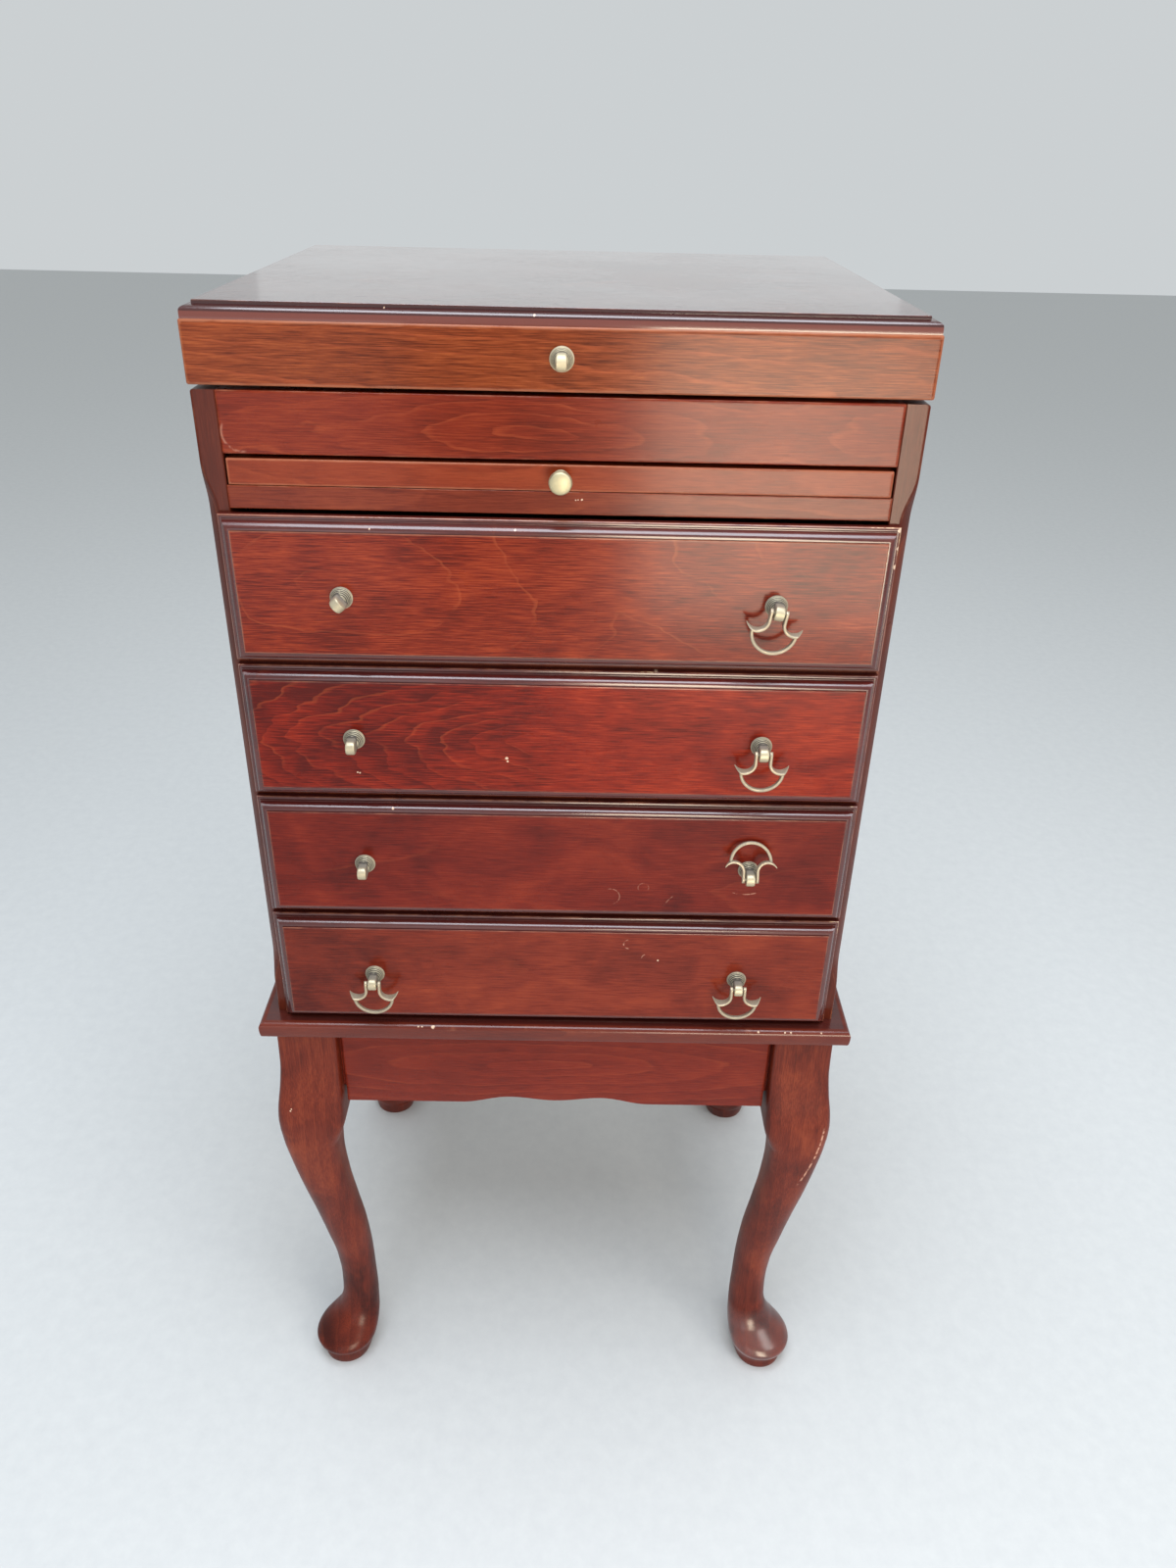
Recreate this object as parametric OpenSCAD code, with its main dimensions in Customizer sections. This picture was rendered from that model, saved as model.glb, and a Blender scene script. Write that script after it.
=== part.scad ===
// Jewelry cabinet: a small chest with a lift-up lid, a pull-out slide and four lipped drawers,
// standing on a base plate with four cabriole legs and scalloped aprons.
// Millimetres, +Z up, the front faces -Y, origin on the floor under the middle of the cabinet.

/* [Case] */
// Outside width of the case
case_w = 450; // [420:1:500]
// Depth of the case from its front edges to its back
case_d = 362; // [330:1:400]
// Thickness of the side boards, front panel and rails
board_t = 15; // [13:0.5:18]
// Thickness of the back panel
back_t = 5; // [4:0.5:6]
// Width of the stopped chamfer on the front corners, along each face
chamfer = 7.5; // [5:0.5:9]
// Length of each chamfer stop
chamfer_stop = 31; // [20:1:40]
// Height above the base plate where the chamfer starts
chamfer_low = 29; // [20:1:60]
// Distance under the case top where the chamfer ends
chamfer_high = 43; // [30:1:70]
// Rounding of the upper outside edges of the sides
ease_r = 2; // [1:0.25:3]

/* [Stand] */
// Height of the legs
leg_h = 433.5; // [400:0.5:460]
// Side of the square block at the top of a leg
leg_block = 48; // [44:0.5:52]
// Distance of the leg blocks inside the edge of the base plate
leg_inset = 10; // [9:0.5:14]
// Thickness of the base plate
base_t = 14; // [12:0.5:18]
// Overhang of the base plate at each side of the case
base_over_side = 13; // [10:0.5:16]
// Overhang of the base plate in front of the case
base_over_front = 17; // [13:0.5:20]
// Overhang of the base plate behind the case
base_over_back = 17; // [13:0.5:20]
// Height of the aprons at their ends
apron_h = 86; // [75:0.5:92]
// Thickness of the aprons
apron_t = 18; // [15:0.5:20]
// Setback of the aprons behind the leg faces
apron_back = 8; // [6:0.5:10]
// Shadow gap between an apron and the leg
apron_gap = 2.5; // [1:0.25:3]
// Height of the arches in the lower edge of an apron
arch_rise = 6.5; // [3:0.5:10]
// Height of the dip between the two arches
arch_dip = 3; // [1:0.5:3]

/* [Drawers] */
// Height of a drawer front
drawer_h = 100; // [92:0.5:108]
// Gap between two drawer fronts
drawer_gap = 3.3; // [2.5:0.1:4]
// Distance from the case corner to the edge of a drawer front
front_margin = 7.5; // [7:0.25:9]
// Height of the lowest drawer front over the base plate
foot_gap = 1.5; // [1:0.25:3]
// Thickness of the lip around a drawer front
lip_t = 5; // [4:0.25:6]
// Width of the flat of the lip
lip_w = 2.5; // [2:0.25:3]
// Width of the round moulding
ovolo_w = 4.5; // [3.5:0.25:5.5]
// Depth of the round moulding
ovolo_d = 5.3; // [4.5:0.1:6]
// Small step on each side of the round moulding
quirk = 1.1; // [0.8:0.1:1.4]
// Thickness of the drawer sides and backs
box_t = 11; // [10:0.5:12]
// Play between a drawer and the case at each side
box_play = 1; // [0.6:0.1:1.4]
// Height of the drawer sides
box_h = 76; // [66:1:78]
// Thickness of the drawer bottoms
bottom_t = 4; // [3:0.5:5]
// Height of a runner
runner_h = 9; // [8:0.5:11]
// Height of the rails between the drawers
blade_h = 12; // [8:0.5:13]

/* [Slide and top compartment] */
// Gap between the top drawer front and the slide rail
rail_gap = 2.5; // [1.5:0.25:3.5]
// Height of the slide rail
rail_h = 14.6; // [12:0.2:18]
// Height of the slide front
slide_h = 16.6; // [15:0.2:20]
// Thickness of the slide board
slide_t = 12; // [10:0.5:13]
// Length of the slide board
slide_len = 300; // [240:1:305]
// Gap over the slide front
slide_gap = 2.7; // [2:0.1:3.5]
// Height of the fixed front panel
panel_h = 38.3; // [34:0.1:46]
// Thickness of the compartment floor
floor_t = 6; // [5:0.5:8]
// Thickness of the linings
lining_t = 1.5; // [1:0.25:2.5]
// Diameter of the slide knob
knob_d = 15; // [12:0.5:16]
// Reach of the slide knob
knob_reach = 16; // [14:0.5:18]

/* [Lid] */
// Gap between the case and the lid
lid_gap = 2.6; // [2.4:0.1:3.2]
// Height of the lid frame
lid_h = 37.3; // [33:0.1:44]
// Thickness of the lid frame boards
lid_t = 12; // [10:0.5:14]
// Overhang of the lid over the case at the front and sides
lid_over = 1; // [0.5:0.25:2]
// Thickness of the top board
top_t = 9.8; // [8.5:0.1:12]
// Width of the moulding on the top board
top_mould_w = 6.3; // [4:0.1:8]
// Inset of the top board on the lid frame
top_inset = 1.1; // [0.5:0.1:2]
// Distance of the hinges from the middle
hinge_x = 130; // [90:1:150]
// Length of a hinge
hinge_len = 50; // [40:1:60]
// Radius of the hinge barrel
barrel_r = 2.5; // [2.25:0.05:2.9]

/* [Pulls] */
// Distance of the pulls from the ends of a drawer front
pull_in = 76; // [68:0.5:96]
// Distance of the pulls under the middle of a drawer front
pull_drop = 1.5; // [0:0.5:4]
// Diameter of the ribbed collar
collar_d = 15; // [13:0.5:16]
// Length of the ribbed collar
collar_len = 8; // [7:0.25:8.5]
// Width of the lug
lug_w = 7.6; // [7:0.1:8.2]
// Distance of the bail pivot from the face
pivot_out = 13.2; // [12.5:0.1:14]
// Reach of the lug from the face
pull_reach = 17.5; // [17:0.1:18]
// Width over the horns of a bail
bail_w = 38; // [36:0.5:41]
// Outside diameter of the half ring
ring_d = 31.5; // [30:0.25:32]
// Distance of the middle of the half ring under the pivot
ring_drop = 13; // [12.5:0.1:13.5]
// Thickness of the bail strip
strip_t = 1.9; // [1.7:0.1:2.1]
// Radius of the bail pins
pin_r = 1; // [0.8:0.05:1.2]
// Lean of the bail that is thrown up against its drawer
bail_lean = 22; // [18:0.5:22]
// Turn of the loose left post of the top drawer about its own axis
left_turn = -41; // [-60:1:60]
// Turn of the crooked right pull of the top drawer about its own axis
right_turn = 9; // [-12:1:12]

/* [Hidden] */

// clearances
seat_gap = 0.3;
joint_fit = 0.1;
run_play = 0.5;
pin_fit = 0.06;
bite = 0.02;

// plan of the case; the origin is in the middle of the whole depth
half_w = case_w / 2;
in_w = half_w - board_t;
lip_proud = lip_t + 2 * quirk + ovolo_d;
front_reach = lip_proud + pull_reach;
hinge_off = barrel_r + 0.2;
back_reach = max(hinge_off + barrel_r, base_over_back);
front_y = front_reach - (front_reach + case_d + back_reach) / 2;
back_y = front_y + case_d;
face_y = front_y - lip_proud;

// heights
base_top = leg_h + base_t;
drawer_pitch = drawer_h + drawer_gap;
drawer_1_z = base_top + foot_gap + 3 * drawer_pitch;
drawer_2_z = drawer_1_z - drawer_pitch;
drawer_3_z = drawer_2_z - drawer_pitch;
drawer_4_z = drawer_3_z - drawer_pitch;
rail_z = drawer_1_z + drawer_h + rail_gap;
slide_z = rail_z + rail_h + seat_gap;
panel_z = slide_z + slide_h + slide_gap;
case_top = panel_z + panel_h;
lid_z = case_top + lid_gap;
lid_top_z = lid_z + lid_h;

// stand
base_half = half_w + base_over_side;
base_front_y = front_y - base_over_front;
base_back_y = back_y + base_over_back;
leg_half = leg_block / 2;
leg_x = base_half - leg_inset - leg_half;
leg_front_y = base_front_y + leg_inset + leg_half;
leg_rear_y = base_back_y - leg_inset - leg_half;
tenon_t = apron_t / 2;
tenon_len = 14;
tenon_cut = 24;
tenon_h = apron_h - tenon_cut;
tenon_top = 10;
tenon_face = apron_back + apron_t / 4;

// drawers
front_half = half_w - front_margin;
pull_x = front_half - pull_in;
rise = (drawer_h - box_h) / 4;
box_half = in_w - box_play;
inset_d = 10;
box_y = front_y + inset_d;
box_back_y = back_y - back_t - 12;
runner_in = 6;
runner_set = 25;
runner_mid = drawer_h * 0.45;
groove_depth = runner_in - box_play + run_play;
bottom_z = rise + 7;
bottom_in = 4;
stud_r = 2;
stud_len = lip_proud + inset_d - 4;

// lid
lid_half = half_w + lid_over;
lid_y = front_y - lid_over;
lid_ease = 1.5;
hinge_y = back_y + hinge_off;
hinge_z = case_top + lid_gap / 2;
leaf_t = lid_gap / 2 - 0.1;
leaf_d = 13;
knuckle = hinge_len / 3;
knuckle_gap = 0.4;
hinge_pin_r = barrel_r / 2;
lid_post_z = lid_z + lid_h * 0.52;

// pulls
lug_r = pull_reach - pivot_out;
eye_r = 2.6;
strip_d = 5;
horn_d = 7.2;
prong_gap = 0.35;
prong_x = lug_w / 2 + prong_gap + strip_t / 2;
prong_drop = 6;
horn_end = 65;
horn_r = (bail_w / 2 - prong_x) / (1 + sin(horn_end));
ring_wire = 2.3;
ring_deep = 3;

wood = [0.40, 0.15, 0.08];
dark = [0.30, 0.12, 0.07];
pale = [0.62, 0.44, 0.26];
felt = [0.32, 0.05, 0.08];
brass = [0.72, 0.60, 0.36];

// quarter of an ellipse from [x0, y0] (steep end) to [x0 + a, y0 + b]
function quarter(x0, y0, a, b, n = 9) =
  [for (i = [0 : n]) [x0 + a - a * cos(90 * i / n), y0 + b * sin(90 * i / n)]];

// closed outline that is symmetric about x = 0; pts run from the outside inwards as [inset, height]
function both_sides(pts, half) = concat(
  [for (p = pts) [-half + p[0], p[1]]],
  [for (i = [len(pts) - 1 : -1 : 0]) [half - pts[i][0], pts[i][1]]]);

// outline with the profile on one side only, plain at the other
function one_side(pts, first, last) = concat(
  [for (p = pts) [first + p[0], p[1]]],
  [[last, pts[len(pts) - 1][1]], [last, pts[0][1]]]);

// outline with the profile at both ends of the length from first to last
function both_ends(pts, first, last) = concat(
  [for (p = pts) [first + p[0], p[1]]],
  [for (i = [len(pts) - 1 : -1 : 0]) [last - pts[i][0], pts[i][1]]]);

// bars and prisms laid along an axis
module along_x(pts, x0, x1) {
  // pts are [y, z]
  translate([x0, 0, 0])
    rotate([90, 0, 90])
      linear_extrude(height = x1 - x0)
        polygon(pts);
}

module along_y(pts, y0, y1) {
  // pts are [x, z]
  translate([0, y1, 0])
    rotate([90, 0, 0])
      linear_extrude(height = y1 - y0)
        polygon(pts);
}

module box(x0, x1, y0, y1, z0, z1) {
  translate([x0, y0, z0])
    cube([x1 - x0, y1 - y0, z1 - z0]);
}

// blind hole for the stud of a pull or knob, drilled from the front
module stud_bore(x, y, z, depth) {
  translate([x, y - 1, z])
    rotate([-90, 0, 0])
      cylinder(r = stud_r + bite, h = depth + 1, $fn = 32);
}

module mirrored_x() {
  children();
  mirror([1, 0, 0]) children();
}

// cabriole leg
// stations of the leg from the floor up: part of the height, outward face and inward face
// as parts of half the block, and how round the corners are (0 square, 1 round)
leg_stations = [
  [0.000, 0.84, -0.76, 0.98],
  [0.018, 0.93, -0.84, 0.98],
  [0.023, 0.98, -0.87, 0.98],
  [0.026, 1.12, -0.98, 0.98],
  [0.034, 1.27, -1.06, 0.98],
  [0.047, 1.34, -1.12, 0.98],
  [0.062, 1.22, -1.17, 0.98],
  [0.079, 0.93, -1.20, 0.98],
  [0.098, 0.60, -1.21, 0.98],
  [0.120, 0.36, -1.20, 0.98],
  [0.160, 0.22, -1.20, 0.98],
  [0.219, 0.19, -1.18, 0.98],
  [0.288, 0.26, -1.16, 0.98],
  [0.381, 0.50, -1.07, 0.94],
  [0.473, 0.74, -0.88, 0.86],
  [0.565, 1.00, -0.70, 0.76],
  [0.646, 1.20, -0.62, 0.66],
  [0.700, 1.31, -0.66, 0.56],
  [0.725, 1.34, -0.80, 0.48],
  [0.745, 1.355, -0.92, 0.40],
  [0.765, 1.36, -0.985, 0.36],
  [0.800, 1.31, -1.00, 0.28],
  [0.858, 1.15, -1.00, 0.22],
  [0.915, 1.04, -1.00, 0.16],
  [1.000, 1.00, -1.00, 0.10]
];
leg_top_i = len(leg_stations) - 1;
corner_n = 5;
leg_levels = concat(
  [0, 0.010, 0.018, 0.0235, 0.026, 0.031, 0.038, 0.047, 0.056, 0.066],
  [for (z = [0.079 : 0.021 : 0.22]) z],
  [for (z = [0.25 : 0.052 : 0.57]) z],
  [0.61, 0.65, 0.68],
  [for (z = [0.70 : 0.0125 : 0.80]) z],
  [0.83, 0.87, 0.91, 0.95, 1]);

function span_of(z, i = 0) = (i >= leg_top_i - 1 || z < leg_stations[i + 1][0]) ? i : span_of(z, i + 1);
function grade(i, k) =
  (leg_stations[i + 1][k] - leg_stations[i][k]) / (leg_stations[i + 1][0] - leg_stations[i][0]);
// slope at a station; zero where the curve turns, so that it never overshoots
function slope(i, k) =
  i == 0 ? grade(0, k) :
  i == leg_top_i ? grade(leg_top_i - 1, k) :
  grade(i - 1, k) * grade(i, k) <= 0 ? 0 :
  2 * grade(i - 1, k) * grade(i, k) / (grade(i - 1, k) + grade(i, k));
function smooth_on(i, k, t, w) =
  leg_stations[i][k] * (1 + 2 * t) * (1 - t) * (1 - t) + w * slope(i, k) * t * (1 - t) * (1 - t)
  + leg_stations[i + 1][k] * t * t * (3 - 2 * t) + w * slope(i + 1, k) * t * t * (t - 1);
function leg_at(z, k, i) =
  smooth_on(i, k, (z - leg_stations[i][0]) / (leg_stations[i + 1][0] - leg_stations[i][0]),
    leg_stations[i + 1][0] - leg_stations[i][0]);

function leg_ring(z, out, inw, round_part) =
  let (c = (out + inw) / 2 * leg_half, h = (out - inw) / 2 * leg_half, r = h * round_part)
  [for (q = [0 : 3], s = [0 : corner_n])
    let (a = 90 * q + 90 * s / corner_n, m = 90 * q + 45)
    [c + (h - r) * sign(cos(m)) + r * cos(a), c + (h - r) * sign(sin(m)) + r * sin(a), z * leg_h]];

// the knee and the toe point along +X and +Y
module leg_blank() {
  count = 4 * (corner_n + 1);
  rings = len(leg_levels);
  points = [for (z = leg_levels)
    let (i = span_of(z))
    each leg_ring(z, leg_at(z, 1, i), leg_at(z, 2, i), leg_at(z, 3, i))];
  walls = [for (j = [0 : rings - 2], s = [0 : count - 1], half = [0, 1])
    let (a = j * count + s, b = j * count + (s + 1) % count)
    half == 0 ? [a, b + count, b] : [a, a + count, b + count]];
  foot = [[for (s = [0 : count - 1]) s]];
  head = [[for (s = [count - 1 : -1 : 0]) (rings - 1) * count + s]];
  polyhedron(points = points, faces = concat(foot, walls, head), convexity = 6);
}

// mortises for the two aprons, in the faces that look to -X and -Y
module leg_shape() {
  m_top = leg_h - tenon_top + joint_fit;
  m_low = leg_h - tenon_top - tenon_h - joint_fit;
  m_in = leg_half - tenon_face;
  difference() {
    leg_blank();
    box(-leg_half - 1, -leg_half + tenon_len - apron_gap + joint_fit,
      m_in - tenon_t - joint_fit, m_in + joint_fit, m_low, m_top);
    box(m_in - tenon_t - joint_fit, m_in + joint_fit,
      -leg_half - 1, -leg_half + tenon_len - apron_gap + joint_fit, m_low, m_top);
  }
}

module leg_front_left() {
  color(wood)
    translate([-leg_x, leg_front_y, 0])
      rotate([0, 0, 180])
        leg_shape();
}

module leg_front_right() {
  color(wood)
    translate([leg_x, leg_front_y, 0])
      mirror([0, 1, 0])
        leg_shape();
}

module leg_rear_left() {
  color(wood)
    translate([-leg_x, leg_rear_y, 0])
      mirror([1, 0, 0])
        leg_shape();
}

module leg_rear_right() {
  color(wood)
    translate([leg_x, leg_rear_y, 0])
      leg_shape();
}

// aprons
arch_end = 0.45;
arch_mid = 0.22;
// height of the scalloped edge at part s of the half length
function scallop(s) =
  s >= arch_end ? 0 :
  s > arch_mid ? arch_rise * (1 + cos(180 * (s - arch_mid) / (arch_end - arch_mid))) / 2 :
  arch_dip + (arch_rise - arch_dip) * (1 - cos(180 * s / arch_mid)) / 2;

// apron along X with its outer face at y = 0 and its thickness towards +Y
module apron_board(half, scalloped) {
  low = leg_h - apron_h;
  steps = 24;
  edge = [for (i = [-steps : steps])
    [arch_end * half * i / steps, low + (scalloped ? scallop(arch_end * abs(i) / steps) : 0)]];
  outline = concat([[-half, leg_h], [-half, low]], scalloped ? edge : [], [[half, low], [half, leg_h]]);
  union() {
    along_y(outline, 0, apron_t);
    box(-half - tenon_len, half + tenon_len, apron_t / 4, apron_t / 4 + tenon_t,
      leg_h - tenon_top - tenon_h, leg_h - tenon_top);
  }
}

apron_half_x = leg_x - leg_half - apron_gap;
apron_half_y = (leg_rear_y - leg_front_y) / 2 - leg_half - apron_gap;
stand_mid_y = (leg_rear_y + leg_front_y) / 2;

module apron_front() {
  color(wood)
    translate([0, leg_front_y - leg_half + apron_back, 0])
      apron_board(apron_half_x, true);
}

module apron_back() {
  color(wood)
    translate([0, leg_rear_y + leg_half - apron_back, 0])
      rotate([0, 0, 180])
        apron_board(apron_half_x, false);
}

module apron_left() {
  color(wood)
    translate([-leg_x - leg_half + apron_back, stand_mid_y, 0])
      rotate([0, 0, -90])
        apron_board(apron_half_y, true);
}

module apron_right() {
  color(wood)
    translate([leg_x + leg_half - apron_back, stand_mid_y, 0])
      rotate([0, 0, 90])
        apron_board(apron_half_y, true);
}

// braces across the inside corners, clear of the legs
brace_h = 30;
brace_leg = 36;
module brace() {
  clear = 1;
  inner = leg_half - apron_back - apron_t;
  translate([0, 0, leg_h - brace_h])
    linear_extrude(height = brace_h)
      polygon([[-leg_half - clear, inner], [-leg_half - brace_leg, inner],
        [inner, -leg_half - brace_leg], [inner, -leg_half - clear],
        [-leg_half - clear, -leg_half - clear]]);
}

module corner_braces() {
  color(pale)
    mirrored_x() {
      translate([leg_x, leg_rear_y, 0]) brace();
      translate([leg_x, leg_front_y, 0]) mirror([0, 1, 0]) brace();
    }
}

// base plate with a moulded edge all round
base_under = 1.5;
base_round = 4.5;
base_edge = concat(
  [for (p = quarter(0, 0, base_t * 0.6, base_under)) [base_under - p[1], p[0]]],
  quarter(0, base_t - base_round, base_round, base_round));
module base_plate() {
  color(wood)
    translate([0, 0, leg_h])
      intersection() {
        along_y(both_sides(base_edge, base_half), base_front_y - 1, base_back_y + 1);
        along_x(both_ends(base_edge, base_front_y, base_back_y), -base_half - 1, base_half + 1);
      }
}

// case sides with stopped chamfers
chamfer_z0 = base_top + chamfer_low;
chamfer_z1 = case_top - chamfer_high;
module chamfer_cut() {
  deep = chamfer / sqrt(2);
  far = 30;
  n = 8;
  low = [for (i = [0 : n]) [-deep * (1 - cos(180 * i / n)) / 2, chamfer_z0 + chamfer_stop * i / n]];
  high = [for (i = [0 : n])
    [-deep * (1 + cos(180 * i / n)) / 2, chamfer_z1 - chamfer_stop + chamfer_stop * i / n]];
  translate([half_w, front_y, 0])
    rotate([0, 0, -45])
      along_y(concat(low, high, [[far, chamfer_z1], [far, chamfer_z0]]), -far, far);
}

rabbet = 7;
module side_board() {
  outline = concat(
    [[in_w, base_top], [half_w, base_top]],
    [for (p = quarter(0, case_top - ease_r, ease_r, ease_r, 5)) [half_w - p[0], p[1]]],
    [[in_w, case_top]]);
  difference() {
    along_y(outline, front_y, back_y);
    chamfer_cut();
    box(in_w - 1, in_w + rabbet, back_y - back_t, back_y + 1, base_top - 1, case_top + 1);
  }
}

module side_right() {
  color(wood) side_board();
}

module side_left() {
  color(wood) mirror([1, 0, 0]) side_board();
}

module back_panel() {
  color(dark)
    box(-in_w - rabbet, in_w + rabbet, back_y - back_t, back_y, base_top, case_top);
}

module back_rail() {
  color(wood)
    box(-in_w, in_w, back_y - back_t - board_t, back_y - back_t, panel_z, case_top);
}

module front_panel() {
  color(wood)
    box(-in_w, in_w, front_y, front_y + board_t, panel_z, case_top);
}

module compartment_floor() {
  color(pale)
    box(-in_w, in_w, front_y + board_t, back_y - back_t - board_t, panel_z, panel_z + floor_t);
}

module compartment_lining() {
  color(felt)
    box(-in_w + seat_gap, in_w - seat_gap, front_y + board_t + seat_gap,
      back_y - back_t - board_t - seat_gap, panel_z + floor_t, panel_z + floor_t + lining_t);
}

rail_d = 40;
module slide_rail() {
  color(wood)
    box(-in_w, in_w, front_y, front_y + rail_d, rail_z, rail_z + rail_h);
}

// runners under the slide board and strips over it that keep it level
guide_w = 15;
module slide_guides() {
  color(pale)
    mirrored_x() {
      box(in_w - guide_w, in_w, front_y + rail_d, back_y - back_t, rail_z, rail_z + rail_h);
      box(in_w - guide_w + 3, in_w, front_y + board_t + 3, back_y - back_t - board_t,
        slide_z + slide_t + run_play, panel_z);
    }
}

module drawer_rails() {
  color(dark)
    for (z = [drawer_1_z, drawer_2_z, drawer_3_z])
      box(-in_w, in_w, front_y, front_y + rail_d,
        z - drawer_gap / 2 - blade_h / 2, z - drawer_gap / 2 + blade_h / 2);
}

module drawer_runners() {
  color(pale)
    mirrored_x()
      for (z = [drawer_1_z, drawer_2_z, drawer_3_z, drawer_4_z])
        box(in_w - runner_in, in_w, front_y + runner_set, back_y - back_t,
          z + runner_mid - runner_h / 2, z + runner_mid + runner_h / 2);
}

// lid
top_edge = concat(
  [[top_inset, 0]],
  quarter(top_inset, top_t * 0.47, top_mould_w, top_t * 0.31),
  [[top_inset + top_mould_w, top_t - 0.4], [top_inset + top_mould_w + 0.4, top_t]]);
module lid_top() {
  color(wood)
    translate([0, 0, lid_top_z])
      intersection() {
        along_y(both_sides(top_edge, lid_half), lid_y - 1, back_y);
        along_x(one_side(top_edge, lid_y, back_y), -lid_half - 1, lid_half + 1);
      }
}

// front board of the lid with eased lower edges
lid_foot = concat(
  [for (p = quarter(0, 0, lid_ease, lid_ease, 5)) [lid_ease - p[1], lid_z + p[0]]],
  [[0, lid_top_z]]);
module lid_front() {
  color(wood)
    difference() {
      intersection() {
        along_y(both_sides(lid_foot, lid_half), lid_y - 1, lid_y + lid_t);
        along_x(one_side(lid_foot, lid_y, lid_y + lid_t), -lid_half - 1, lid_half + 1);
      }
      stud_bore(0, lid_y, lid_post_z, lid_t - 2);
    }
}

module lid_side() {
  outline = concat(
    [for (p = lid_foot) [lid_half - p[0], p[1]]],
    [[lid_half - lid_t, lid_top_z], [lid_half - lid_t, lid_z]]);
  along_y(outline, lid_y + lid_t, back_y - lid_t);
}

module lid_right() {
  color(wood) lid_side();
}

module lid_left() {
  color(wood) mirror([1, 0, 0]) lid_side();
}

module lid_back() {
  color(wood)
    along_y(both_sides(lid_foot, lid_half), back_y - lid_t, back_y);
}

module lid_lining() {
  color(felt)
    box(-lid_half + lid_t + seat_gap, lid_half - lid_t - seat_gap, lid_y + lid_t + seat_gap,
      back_y - lid_t - seat_gap, lid_top_z - lining_t, lid_top_z);
}

module lid_post() {
  color(brass)
    translate([0, lid_y, lid_post_z])
      post(lid_t - 3);
}

// butt hinges; the case leaf carries the outer knuckles, the lid leaf the middle one
module knuckle_bar(x0, x1, r) {
  translate([x0, hinge_y, hinge_z])
    rotate([0, 90, 0])
      cylinder(r = r, h = x1 - x0, $fn = 48);
}

module case_leaf() {
  difference() {
    union() {
      box(-hinge_len / 2, hinge_len / 2, back_y - leaf_d, hinge_y - hinge_pin_r, case_top, case_top + leaf_t);
      knuckle_bar(-hinge_len / 2, -knuckle / 2, barrel_r);
      knuckle_bar(knuckle / 2, hinge_len / 2, barrel_r);
    }
    knuckle_bar(-knuckle / 2, knuckle / 2, barrel_r + 0.4);
    knuckle_bar(-hinge_len, hinge_len, hinge_pin_r + pin_fit);
  }
}

module lid_leaf() {
  difference() {
    union() {
      box(-hinge_len / 2, hinge_len / 2, back_y - leaf_d, hinge_y - hinge_pin_r, lid_z - leaf_t, lid_z);
      knuckle_bar(-knuckle / 2 + knuckle_gap, knuckle / 2 - knuckle_gap, barrel_r);
    }
    knuckle_bar(-hinge_len, -knuckle / 2 + knuckle_gap, barrel_r + 0.4);
    knuckle_bar(knuckle / 2 - knuckle_gap, hinge_len, barrel_r + 0.4);
    knuckle_bar(-hinge_len, hinge_len, hinge_pin_r + pin_fit);
  }
}

module hinge_case_leaves() {
  color(brass)
    mirrored_x()
      translate([hinge_x, 0, 0]) case_leaf();
}

module hinge_lid_leaves() {
  color(brass)
    mirrored_x()
      translate([hinge_x, 0, 0]) lid_leaf();
}

module hinge_pins() {
  color(brass)
    mirrored_x()
      translate([hinge_x, 0, 0])
        knuckle_bar(-hinge_len / 2, hinge_len / 2, hinge_pin_r);
}

// pull-out slide
slide_half = in_w - 1.2;
module slide_front() {
  color(wood)
    difference() {
      box(-slide_half, slide_half, front_y, front_y + board_t, slide_z, slide_z + slide_h);
      stud_bore(0, front_y, slide_z + slide_h / 2, board_t - 3);
    }
}

module slide_board() {
  color(pale)
    box(-slide_half, slide_half, front_y + board_t, front_y + board_t + slide_len,
      slide_z, slide_z + slide_t);
}

module slide_knob() {
  r = knob_d / 2;
  dome = knob_reach * 0.16;
  head = knob_reach * 0.34;
  color(brass)
    translate([0, front_y, slide_z + slide_h / 2])
      rotate([90, 0, 0])
        union() {
          rotate_extrude($fn = 64)
            polygon(concat(
              [[0, 0], [r * 0.72, 0], [r * 0.72, 0.8], [r * 0.62, 1.6], [r * 0.42, 3],
                [r * 0.38, knob_reach * 0.35], [r * 0.55, knob_reach - dome - head],
                [r * 0.92, knob_reach - dome - head * 0.8], [r, knob_reach - dome - head * 0.5],
                [r * 0.97, knob_reach - dome - 0.4]],
              [for (i = [0 : 6]) [r * 0.93 * cos(15 * i), knob_reach - dome + dome * sin(15 * i)]]));
          translate([0, 0, 1 - board_t + 3])
            cylinder(r = stud_r, h = board_t - 3, $fn = 32);
        }
}

// drawer fronts: the same moulding runs round all four edges and meets in mitres
front_edge = concat(
  [[0, seat_gap], [0, lip_t - 0.8], [0.25, lip_t - 0.25], [0.8, lip_t], [lip_w, lip_t],
    [lip_w, lip_t + quirk]],
  quarter(lip_w + 0.7, lip_t + quirk, ovolo_w, ovolo_d, 10),
  [[lip_w + ovolo_w + 1.4, lip_t + quirk + ovolo_d],
    [lip_w + ovolo_w + 1.4, lip_t + 2 * quirk + ovolo_d - 0.3],
    [lip_w + ovolo_w + 1.7, lip_t + 2 * quirk + ovolo_d]]);

// lying with its face up: x across, y up the front, z forward
module front_moulding() {
  intersection() {
    along_y(both_sides(front_edge, front_half), -drawer_h, drawer_h);
    along_x(both_sides(front_edge, drawer_h / 2), -front_half - 1, front_half + 1);
  }
}

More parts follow.
